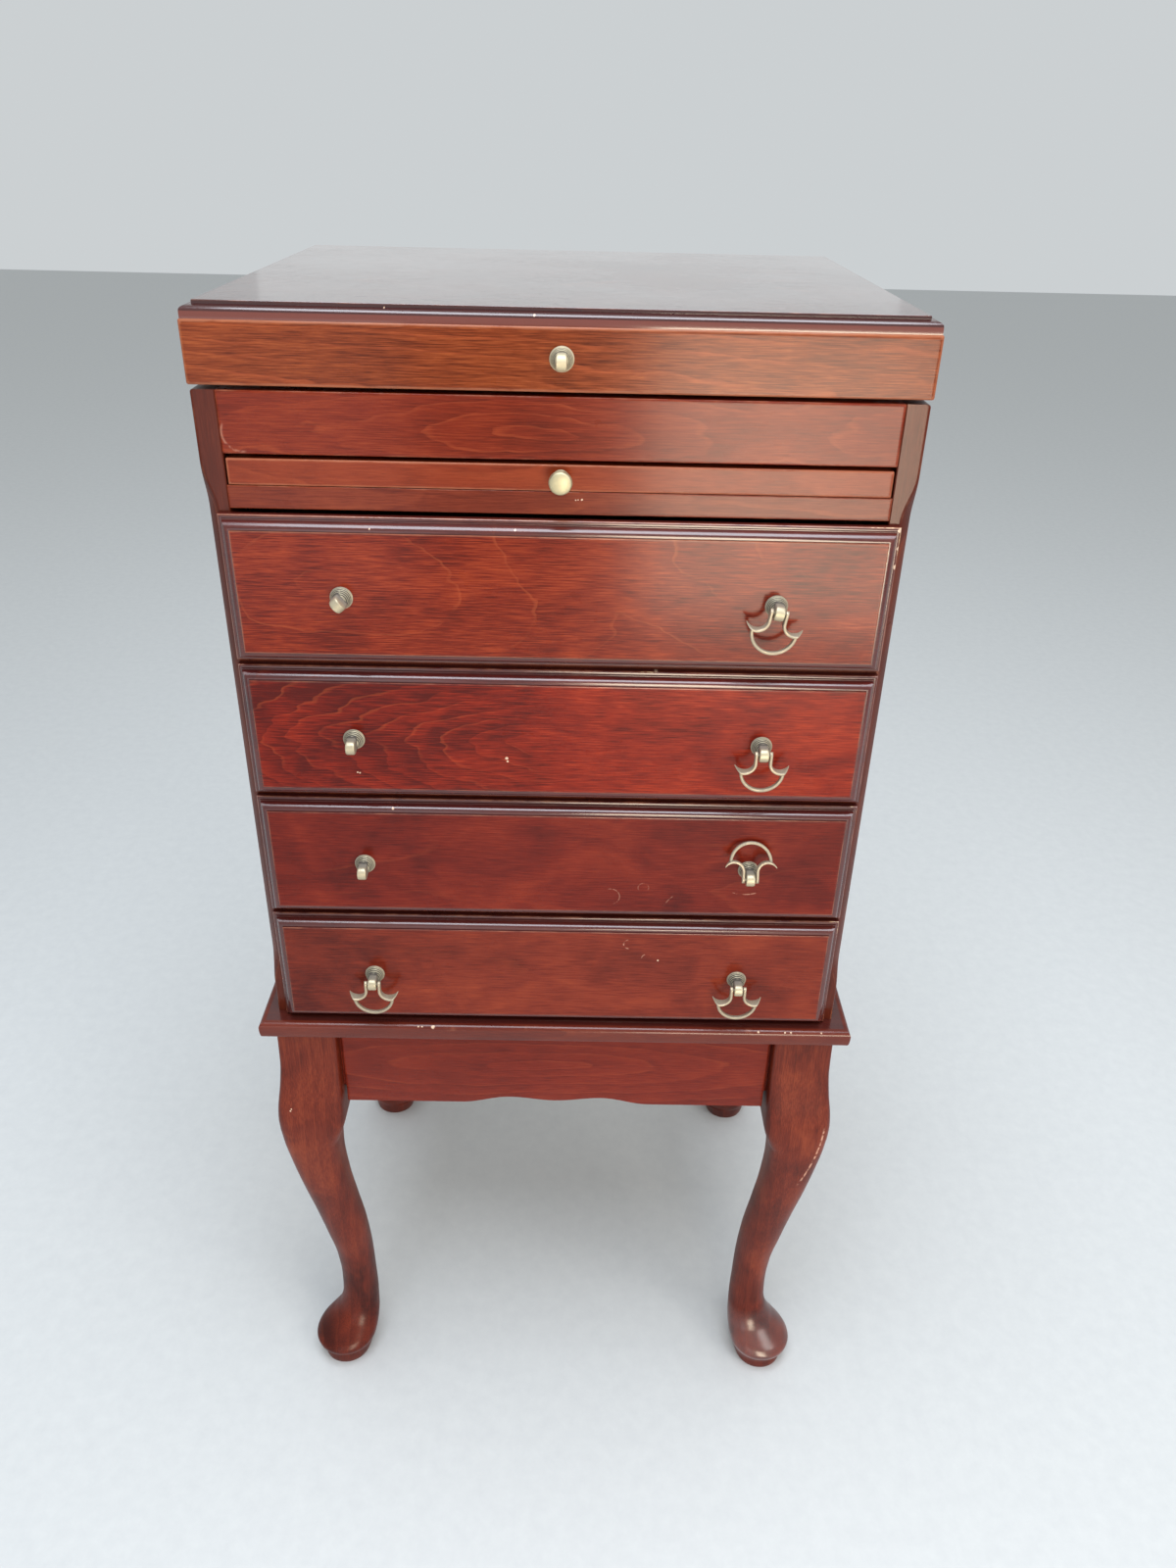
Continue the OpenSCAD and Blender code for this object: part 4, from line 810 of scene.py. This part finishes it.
def apron(name, half, arched, angle, middle, material, node):
    """An apron: its outline carried through the thickness and drawn in along its own normals by a quarter circle
    at both faces, with the tenons at its ends; then turned by angle and set at middle."""
    x, low = scalloped_line(half, arched)
    top, shoulder = APRON_TOP, APRON_TOP - 20 * MM
    back = x[::-8][1:-1]
    line = np.concatenate([
        np.stack([x, low], -1), [[half, shoulder], [half, top]],
        np.stack([back, np.full_like(back, top)], -1), [[-half, top], [-half, shoulder]]])
    way = unit(unit(np.roll(line, -1, 0) - line) + unit(line - np.roll(line, 1, 0)))
    inward = np.stack([-way[:, 1], way[:, 0]], -1)
    t = np.radians(np.linspace(0, 90, 4))
    depth, draw, mark = APRON_EASE * (1 - np.cos(t)), APRON_EASE * (1 - np.sin(t)), 0.3 + 0.7 * np.sin(2 * t)
    depth = np.concatenate([depth, APRON_THICK - depth[::-1]])
    draw, mark = np.concatenate([draw, draw[::-1]]), np.concatenate([mark, mark[::-1]])
    drawn = line + inward * draw[:, None, None]
    rings = np.stack(np.broadcast_arrays(drawn[..., 0], depth[:, None], drawn[..., 1]), -1)
    shells = [loft(rings, {"edge": mark})]
    for sign in (-1, 1):
        near, far = sorted((sign * (half - 4 * MM), sign * (half + 14 * MM)))
        shells.append(eased_board((near, APRON_THICK * 0.25, APRON_LOW + 14 * MM),
                                  (far, APRON_THICK * 0.75, APRON_TOP - 10 * MM), 0.4 * MM))
    c, s = math.cos(angle), math.sin(angle)
    turn = np.array([[c, s, 0], [-s, c, 0], [0, 0, 1]])
    placed = [(points @ turn + (*middle, 0), faces, marks) for points, faces, marks in shells]
    make(name, placed, material, "cabinet", [node])


LEG_HALF = 24 * MM
# part of the height, outward face, inward face (in half blocks), roundness
LEG_STATIONS = np.array([
    [0.000, 1.06, -0.78, 0.98], [0.012, 1.10, -0.86, 0.98], [0.036, 1.12, -0.99, 0.98], [0.040, 1.15, -1.01, 0.98],
    [0.0425, 1.27, -1.025, 0.98], [0.047, 1.32, -1.05, 0.98], [0.055, 1.345, -1.10, 0.98], [0.067, 1.23, -1.15, 0.98],
    [0.082, 0.95, -1.19, 0.98], [0.100, 0.62, -1.21, 0.98], [0.122, 0.37, -1.20, 0.98], [0.160, 0.22, -1.20, 0.98],
    [0.219, 0.19, -1.18, 0.98], [0.288, 0.26, -1.16, 0.98], [0.381, 0.50, -1.07, 0.94], [0.473, 0.74, -0.88, 0.86],
    [0.565, 1.00, -0.70, 0.76], [0.646, 1.20, -0.62, 0.66], [0.700, 1.31, -0.66, 0.56], [0.725, 1.34, -0.80, 0.48],
    [0.745, 1.355, -0.92, 0.40], [0.765, 1.36, -0.985, 0.36], [0.800, 1.31, -1.00, 0.28], [0.858, 1.15, -1.00, 0.22],
    [0.915, 1.04, -1.00, 0.16], [1.000, 1.00, -1.00, 0.10]])
# the legs' blocks stand this far inside the base's edge
LEG_IN = 10 * MM + LEG_HALF
LEG_X, LEG_FRONT, LEG_REAR = BASE_HALF - LEG_IN, BASE_FRONT + LEG_IN, BASE_BACK - LEG_IN


def leg(name, sx, sy, node, material):
    """A cabriole leg: rings between a square and a circle, whose middle and half width follow smooth curves up
    the height.

    In polar form a ring is half / (|cos|^n + |sin|^n)^(1/n), with n found from the roundness so that the corner
    keeps its reach. The mark frame is the toe."""
    spans = ((0, 0.1, 72), (0.1, 0.66, 66), (0.66, 0.82, 44), (0.82, 1, 20))
    part = np.unique(np.concatenate([np.linspace(*span) for span in spans]))[:, None]
    out, inward, rounded = (flow(part, LEG_STATIONS[:, 0], LEG_STATIONS[:, k]) for k in (1, 2, 3))
    middle = (out + inward) / 2 * LEG_HALF
    half = (out - inward) / 2 * LEG_HALF
    n = 1 / (0.5 - np.log2(math.sqrt(2) - (math.sqrt(2) - 1) * np.minimum(rounded, 0.99)))
    a = np.linspace(0, 2 * np.pi, 112, endpoint=False)
    c, s = np.cos(a), np.sin(a)
    reach = half / (np.abs(c) ** n + np.abs(s) ** n) ** (1 / n)
    x = sx * (middle + reach * c) + sx * LEG_X
    y = sy * (middle + reach * s) + (LEG_FRONT if sy < 0 else LEG_REAR)
    rings = np.stack(np.broadcast_arrays(x, y, part * LEG_H), -1)
    toe = np.clip((part - 0.02) / 0.02, 0, 1) * np.clip((0.14 - part) / 0.04, 0, 1)
    make(name, [loft(rings, {"frame": toe})], material, "cabinet", [node], crisp=50)


for i in DRAWERS:
    drawer_front(i)
edged_plate("lid_top_board", LID_HALF, LID_Y, BACK_Y, LID_HIGH, TOP_PROFILE, all_round=False, plain=4.0,
            material=wood_top, body="lid", node="lid_top")
edged_plate("base_board", BASE_HALF, BASE_FRONT, BASE_BACK, BASE_LOW, BASE_PROFILE, all_round=True, plain=-1.0,
            material=wood_base, body="cabinet", node="base_plate")
side_board("case_side_right", 1, "side_right")
side_board("case_side_left", -1, "side_left")
for name, node, ease, material, body, slot in (
        ("panel_board", "front_panel", 0.8, wood_panel, "cabinet", "case_wood"),
        ("slide_strip", "slide_front", 0.8, wood_slide, "slide", "case_wood"),
        ("lid_front_board", "lid_front", 1.3, wood_lid, "lid", "lid_wood"),
        ("lid_back_board", "lid_back", 1.3, wood_lid, "lid", "lid_wood"),
        ("lid_right_board", "lid_right", 1.3, wood_lid_side, "lid", "lid_wood"),
        ("lid_left_board", "lid_left", 1.3, wood_lid_side, "lid", "lid_wood")):
    make(name, [eased_board(*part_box(node), ease * MM)], material, body, [node])
make("rail_board", [eased_board(*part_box("slide_rail"), 0.5 * MM, across=1)], wood_rail, "cabinet", ["slide_rail"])
leg("front_left_leg", -1, -1, "leg_front_left", wood_leg_left)
leg("front_right_leg", 1, -1, "leg_front_right", wood_leg_right)
leg("rear_left_leg", -1, 1, "leg_rear_left", wood_leg)
leg("rear_right_leg", 1, 1, "leg_rear_right", wood_leg)
# from the legs' middles to an apron's shoulder, and out to its face
APRON_SHORT, APRON_OUT = 26.5 * MM, 16 * MM
MID_Y = (LEG_FRONT + LEG_REAR) / 2
HALF_X, HALF_Y = LEG_X - APRON_SHORT, (LEG_REAR - LEG_FRONT) / 2 - APRON_SHORT
apron("front_apron", HALF_X, True, 0, (0, LEG_FRONT - APRON_OUT), wood_apron, "apron_front")
apron("rear_apron", HALF_X, False, math.pi, (0, LEG_REAR + APRON_OUT), wood_apron, "apron_back")
apron("left_apron", HALF_Y, True, -math.pi / 2, (-LEG_X - APRON_OUT, MID_Y), wood_apron_side, "apron_left")
apron("right_apron", HALF_Y, True, math.pi / 2, (LEG_X + APRON_OUT, MID_Y), wood_apron_side, "apron_right")


# brass

def collar_profile():
    """Half section of a post's ribbed collar: (radius, height, edge, hollow) in millimetres, a flange and five
    round ribs that grow smaller forward like a beehive, with dark grooves between them."""
    rows = [[0, -1.0, 0, 0], [7.5, -1.0, 0, 0], [7.5, 0.7, 0.3, 0], [7.4, 0.95, 0.8, 0], [7.15, 1.08, 0.4, 0.2]]
    for r, h in ((7.05, 1.1), (6.5, 2.4), (5.85, 3.7), (5.1, 5.0), (4.3, 6.2)):
        rows += [[r - 0.7, h, 0, 1.3], [r - 0.7, h + 0.48, 0, 1.3], [r - 0.2, h + 0.56, 0.2, 0.8],
                 [r, h + 0.76, 0.8, 0], [r - 0.08, h + 0.98, 1.0, 0], [r - 0.35, h + 1.18, 0.4, 0.7]]
    rows += [[3.8 * math.cos(a), 7.2 + 0.8 * math.sin(a), 0.3, 0] for a in np.radians(np.linspace(20, 88, 6))]
    return np.array(rows)


COLLAR = collar_profile()


def roll(points, side, degrees):
    """Points turned about the pivot, the top towards +X where side is 0 and towards +Y where it is 1."""
    c, s = math.cos(math.radians(degrees)), math.sin(math.radians(degrees))
    rolled = points.copy()
    rolled[..., side] = points[..., side] * c + points[..., 2] * s
    rolled[..., 2] = points[..., 2] * c - points[..., side] * s
    return rolled


def post_shells(x, y, z, turn=0):
    """A pull post at (x, y, z) on a face, turned about its own axis: a turned ribbed collar and a tongue. The
    tongue's rings are soft rectangles that keep their width and close in height over the nose along a circle."""
    # in millimetres
    pivot, nose, half = PIVOT_OUT / MM, 4.3, 5.0
    out = np.concatenate([np.linspace(4.5, pivot, 6), pivot + nose * np.sin(np.radians(np.linspace(6, 89, 16)))])
    out = out[:, None]
    tall = half * np.sqrt(1 - np.clip((out - pivot) / nose, 0, 1) ** 2)
    wide = 3.3 - 0.4 * np.clip((out - 15.5) / 2, 0, 1) ** 2
    line = soft_line(40, 0.36)
    tongue = np.stack(np.broadcast_arrays(line[:, 0] * wide, line[:, 1] * tall, out), -1)
    rubbed, dirt = np.clip((out - 12.5) / 2.5, 0, 1), np.clip((10.5 - out) / 3, 0, 0.7)
    shells = []
    for form, edge, hollow in ((lathe(COLLAR[:, :2] * MM, 56), COLLAR[:, 2], COLLAR[:, 3]),
                               (tongue * MM, rubbed, dirt)):
        rings = roll(lay(form, FORWARD), 0, turn) + (x, y, z)
        shells.append(loft(rings, {"edge": edge, "hollow": hollow}))
    return shells


def bail_shells(x, z, swing, turn):
    """A bail hung at pull x, z: two strips bent outward into pointed horns, and half a ring under them.

    A strip's path goes straight down, then round part of a circle; its section is a soft rectangle carried along
    the path that grows deeper and thinner outward, and its end is cut on a slant, longest at the back. swing
    turns the bail about its pivot, forward and up; turn tilts it with its post."""
    # in millimetres and degrees; slant is the part of the bend that the front edge lacks
    prong, drop, bend, tip, slant = 5.1, 6.0, 7.29, 151.0, 0.247
    bent = np.radians(np.concatenate([np.zeros(8), np.linspace(0, tip, 40)[1:]]))[:, None]
    down = np.concatenate([np.linspace(2.6, -drop, 8), np.full(39, -drop)])[:, None]
    along = np.concatenate([np.linspace(-0.4, 0, 8), np.linspace(0, 1, 40)[1:]])[:, None]
    head = 2.55 * np.sqrt(np.clip(1 - (down / 2.62).clip(0, 1) ** 2, 0.02, 1))
    below = flow(along, [-0.4, -0.25, 0.0, 0.3, 0.72, 1.0], [2.55, 2.5, 2.5, 2.7, 3.6, 3.6])
    deep = np.where(down > 0, head, below)
    thick = flow(along, [-0.4, 0.0, 0.6, 0.9, 1.0], [1.15, 1.15, 1.05, 0.65, 0.35])
    flat, proud = soft_line(24, 0.55).T
    angle = bent * (1 - slant * np.clip((along - 0.5) / 0.5, 0, 1) ** 1.5 * (1 - proud) / 2)
    offset = bend - flat * thick
    strip = np.stack(np.broadcast_arrays(
        prong + bend - offset * np.cos(angle), proud * deep, down - offset * np.sin(angle)), -1)
    # edge mark of the strips: 0.8 on their rubbed edges, and 0.4 over their faces as a painted sheen that makes them
    # paler
    rim = np.broadcast_to(np.where(np.abs(proud) > 0.75 ** 0.55, 0.8, 0.4), strip.shape[:2])
    around = np.radians(np.linspace(178, 362, 64))[:, None]
    wire = 1.15
    radius = 31.5 / 2 - wire + wire * flat
    hoop = np.stack(np.broadcast_arrays(
        radius * np.cos(around), 1.5 * proud, radius * np.sin(around) - 13), -1)
    pin = lay(lathe([[0, 1.0], [1, 1.0], [1, 4.6], [0, 4.6]], 20), ((2, 1), (0, 1), (1, 1)))
    mirror = np.array([-1, 1, 1])
    shells = []
    for form, rubbed in ((strip, rim), (strip * mirror, rim), (hoop, np.full(64, 0.35)), (pin, np.zeros(4)),
                         (pin * mirror, np.zeros(4))):
        rings = roll(roll(form, 1, swing), 0, turn) * MM + (x, FACE_Y - PIVOT_OUT, z)
        shells.append(loft(rings, {"edge": rubbed}))
    return shells


def pull_z(i):
    """Height of the pulls of a drawer."""
    return DRAWER_Z[i] + DRAWER_H / 2 - PULL_DROP


LEFT_TURN, RIGHT_TURN = -41, 9
THROWN_UP = 202
for i in DRAWERS:
    left, right = (LEFT_TURN, RIGHT_TURN) if i == 1 else (0, 0)
    shells = post_shells(-PULL_X, FACE_Y, pull_z(i), left) + post_shells(PULL_X, FACE_Y, pull_z(i), right)
    make(f"drawer_{i}_pull_posts", shells, brass_post, f"drawer_{i}", [f"drawer_{i}_posts"], crisp=40)
make("lid_pull_post", post_shells(0, LID_Y, LID_LOW + (LID_HIGH - LID_LOW) * 0.52), brass_lid_post, "lid",
     ["lid_post"], crisp=40)
for node, i, x, swing, turn in (
        ("bail_1_right", 1, PULL_X, 0, RIGHT_TURN), ("bail_2_right", 2, PULL_X, 0, 0),
        ("bail_3_right", 3, PULL_X, THROWN_UP, 0), ("bail_4_left", 4, -PULL_X, 0, 0),
        ("bail_4_right", 4, PULL_X, 0, 0)):
    make(node.replace("bail", "pull_bail"), bail_shells(x, pull_z(i), swing, turn), brass_pull, node, [node],
         crisp=45)

# the knob's middle above the slide's lower edge, and its half section in millimetres
KNOB_UP = 8.3 * MM
dome = np.radians(np.linspace(12, 89, 9))
KNOB_LINE = np.concatenate([
    [[0, -1.5], [5.4, -1.5], [5.4, 0.5], [5.2, 0.9], [4.5, 1.6], [3.3, 2.8], [2.85, 4.2], [2.85, 5.6], [3.3, 7.0],
     [4.4, 8.1], [6.3, 8.9], [7.1, 9.5], [7.45, 10.4], [7.5, 11.2], [7.4, 12.2], [7.05, 13.0]],
    np.stack([7.1 * np.cos(dome), 13.0 + 1.7 * np.sin(dome)], -1)])
knob = loft(lay(lathe(KNOB_LINE * MM, 64), FORWARD, (0, FRONT_Y, SLIDE_LOW + KNOB_UP)),
            {"edge": np.linspace(0, 0.8, len(KNOB_LINE))})
make("slide_brass_knob", [knob], brass_knob, "slide", ["slide_knob"], crisp=50)


# linings

def felt_sheet(name, low, high, top, body, node, on):
    """A felt lining laid in a space: a grid whose height swells a little along sines and dips to its cut edge.
    Its good face is up when top is set."""
    nx, ny = 61, 49
    u, v = np.meshgrid(np.linspace(0, 1, nx), np.linspace(0, 1, ny), indexing="ij")
    wide, deep = high[0] - low[0], high[1] - low[1]
    x, y = low[0] + wide * u, low[1] + deep * v
    rim = np.minimum(np.minimum(u, 1 - u) * wide, np.minimum(v, 1 - v) * deep)
    swell = 0.25 * MM * np.sin(u * 9 + 1.3) * np.sin(v * 7 + 0.4) + 0.15 * MM * np.sin(u * 31) * np.sin(v * 23)
    sunk = 0.3 * MM - swell * np.clip(rim / (20 * MM), 0, 1) + 0.6 * MM * np.exp(-rim / (1.2 * MM))
    z = high[2] - sunk if top else low[2] + sunk
    back = np.full_like(z, low[2] if top else high[2])
    points = np.stack([(x, y, z), (x, y, back)]).transpose(0, 2, 3, 1).reshape(-1, 3)
    good = np.array(quads(nx, ny, False))
    line = np.concatenate([np.arange(ny), np.arange(1, nx) * ny + ny - 1, (nx - 1) * ny + np.arange(ny - 2, -1, -1),
                           np.arange(nx - 2, 0, -1) * ny])
    ahead = np.roll(line, -1)
    wall = np.stack([line, ahead, ahead + nx * ny, line + nx * ny], -1)
    faces = np.concatenate([good, (good + nx * ny)[:, ::-1], wall])
    if enclosed(points, faces) < 0:
        faces = faces[:, ::-1]
    piece = make(name, [(points, faces.tolist(), {})], felt_red, body, node, crisp=60)


# the drawers' linings: half width, front edge, distance from the bottom's back edge, thickness
FELT_HALF = 197.5 * MM
FELT_FRONT = FRONT_Y + 10.5 * MM
FELT_SHORT = 11.5 * MM
FELT_THICK = 1.2 * MM
for node, body, top, on in (("compartment_lining", "cabinet", True, "compartment_floor"),
                            ("lid_lining", "lid", False, "lid_top_board")):
    felt_sheet(node.replace("lining", "felt"), *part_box(node), top, body, [node], on)
for i in DRAWERS:
    _, (_, back, floor_z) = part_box(f"drawer_{i}_bottom")
    felt_sheet(f"drawer_{i}_felt", (-FELT_HALF, FELT_FRONT, floor_z),
               (FELT_HALF, back - FELT_SHORT, floor_z + FELT_THICK), True, f"drawer_{i}", (), f"drawer_{i}_bottom")


# pieces that stay as built

finishes = {
    "corner_braces": inner_wood, "slide_guides": inner_wood, "drawer_runners": inner_wood, "drawer_rails": wood_side,
    "compartment_floor": inner_cross, "back_rail": inner_cross, "back_panel": back_wood, "slide_board": wood_rail,
    "hinge_case_leaves": brass_hinge, "hinge_lid_leaves": brass_hinge, "hinge_pins": brass_hinge}
for i in DRAWERS:
    finishes[f"drawer_{i}_sides"] = inner_wood
    finishes[f"drawer_{i}_back"] = finishes[f"drawer_{i}_bottom"] = inner_cross
for node, finish in finishes.items():
    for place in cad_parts[node].material_slots:
        place.material = finish


# floor, light and camera

def pale_floor():
    """A wide level floor with a faint mottle."""
    material, t, shader, at = start_material("pale floor")
    grit = t.noise(at, (60, 60, 60), 5, 0.7)[0]
    t.feed(shader.inputs["Base Color"], t.ramp(grit, [(0.3, (0.55, 0.56, 0.56)), (0.7, (0.59, 0.60, 0.595))]))
    shader.inputs["Roughness"].default_value = 0.75
    half = 9.0
    mesh = bpy.data.meshes.new("floor")
    mesh.from_pydata([(-half, -half, 0), (half, -half, 0), (half, half, 0), (-half, half, 0)], [], [(0, 1, 2, 3)])
    mesh.materials.append(material)
    floor = bpy.data.objects.new("floor", mesh)
    bpy.context.scene.collection.objects.link(floor)


def stand(data, at, way, right, up):
    """Stands a light or a camera at a place, looking along way."""
    made = bpy.data.objects.new(data.name, data)
    rows = np.eye(4)
    rows[:3] = np.stack([right, up, -way, at], -1)
    made.matrix_world = Matrix(rows.tolist())
    bpy.context.scene.collection.objects.link(made)
    return made


def soft_panel(name, at, aim, wide, tall, power, colour):
    """A large soft light at one point, facing another."""
    light = bpy.data.lights.new(name, "AREA")
    light.shape = "RECTANGLE"
    light.size, light.size_y = wide, tall
    light.energy = power
    light.color = colour
    way = np.array(aim, float) - at
    way /= np.linalg.norm(way)
    right = np.cross(way, (0, 0, 1.0))
    right /= np.linalg.norm(right)
    stand(light, at, way, right, np.cross(right, way)).visible_camera = False


def photo_camera():
    """The photograph's place and turn: a yaw, a pitch down and a small roll; the lens from its focal length over
    the longer side, both in pixels."""
    yaw, pitch, tilt = 0.0118, -0.5185, 0.0239
    focal, long_side, sensor = 1176.7, 1600, 36
    way = np.array([math.sin(yaw) * math.cos(pitch), math.cos(yaw) * math.cos(pitch), math.sin(pitch)])
    right = np.array([math.cos(yaw), -math.sin(yaw), 0])
    up = np.cross(right, way)
    data = bpy.data.cameras.new("camera")
    data.sensor_width = sensor
    data.lens = focal / long_side * sensor
    data.clip_start = 0.01
    bpy.context.scene.camera = stand(
        data, (0.0131, FRONT_Y - 0.7228, 1.0768), way,
        math.cos(tilt) * right + math.sin(tilt) * up, math.cos(tilt) * up - math.sin(tilt) * right)


def pale_world():
    """Even pale surroundings."""
    world = bpy.data.worlds.new("surroundings")
    bpy.context.scene.world = world
    world.use_nodes = True
    ground = world.node_tree.nodes["Background"]
    ground.inputs["Color"].default_value = (0.80, 0.84, 0.86, 1)
    ground.inputs["Strength"].default_value = 0.75


pale_floor()
pale_world()
photo_camera()
soft_panel("overhead", (0.0, -0.7, 2.9), (0, -0.3, 0.6), 1.6, 2.0, 80, (0.84, 0.91, 1.0))
soft_panel("front high", (1.75, -1.75, 2.0), (0, -0.17, 0.6), 1.2, 1.2, 19, (1.0, 0.97, 0.93))
soft_panel("back", (0, 2.6, 1.15), (0, 0, 0.95), 1.8, 0.5, 0.5, (0.97, 1.0, 1.0))
soft_panel("front left low", (-0.75, -2.2, 0.38), (-0.1, -0.17, 0.85), 0.72, 0.74, 1.8, (0.95, 0.97, 1.0))
soft_panel("front right low", (0.52, -2.2, 0.38), (0.1, -0.17, 0.85), 0.72, 0.74, 23, (1.0, 0.86, 0.66))
bpy.context.scene.view_settings.view_transform = "Standard"
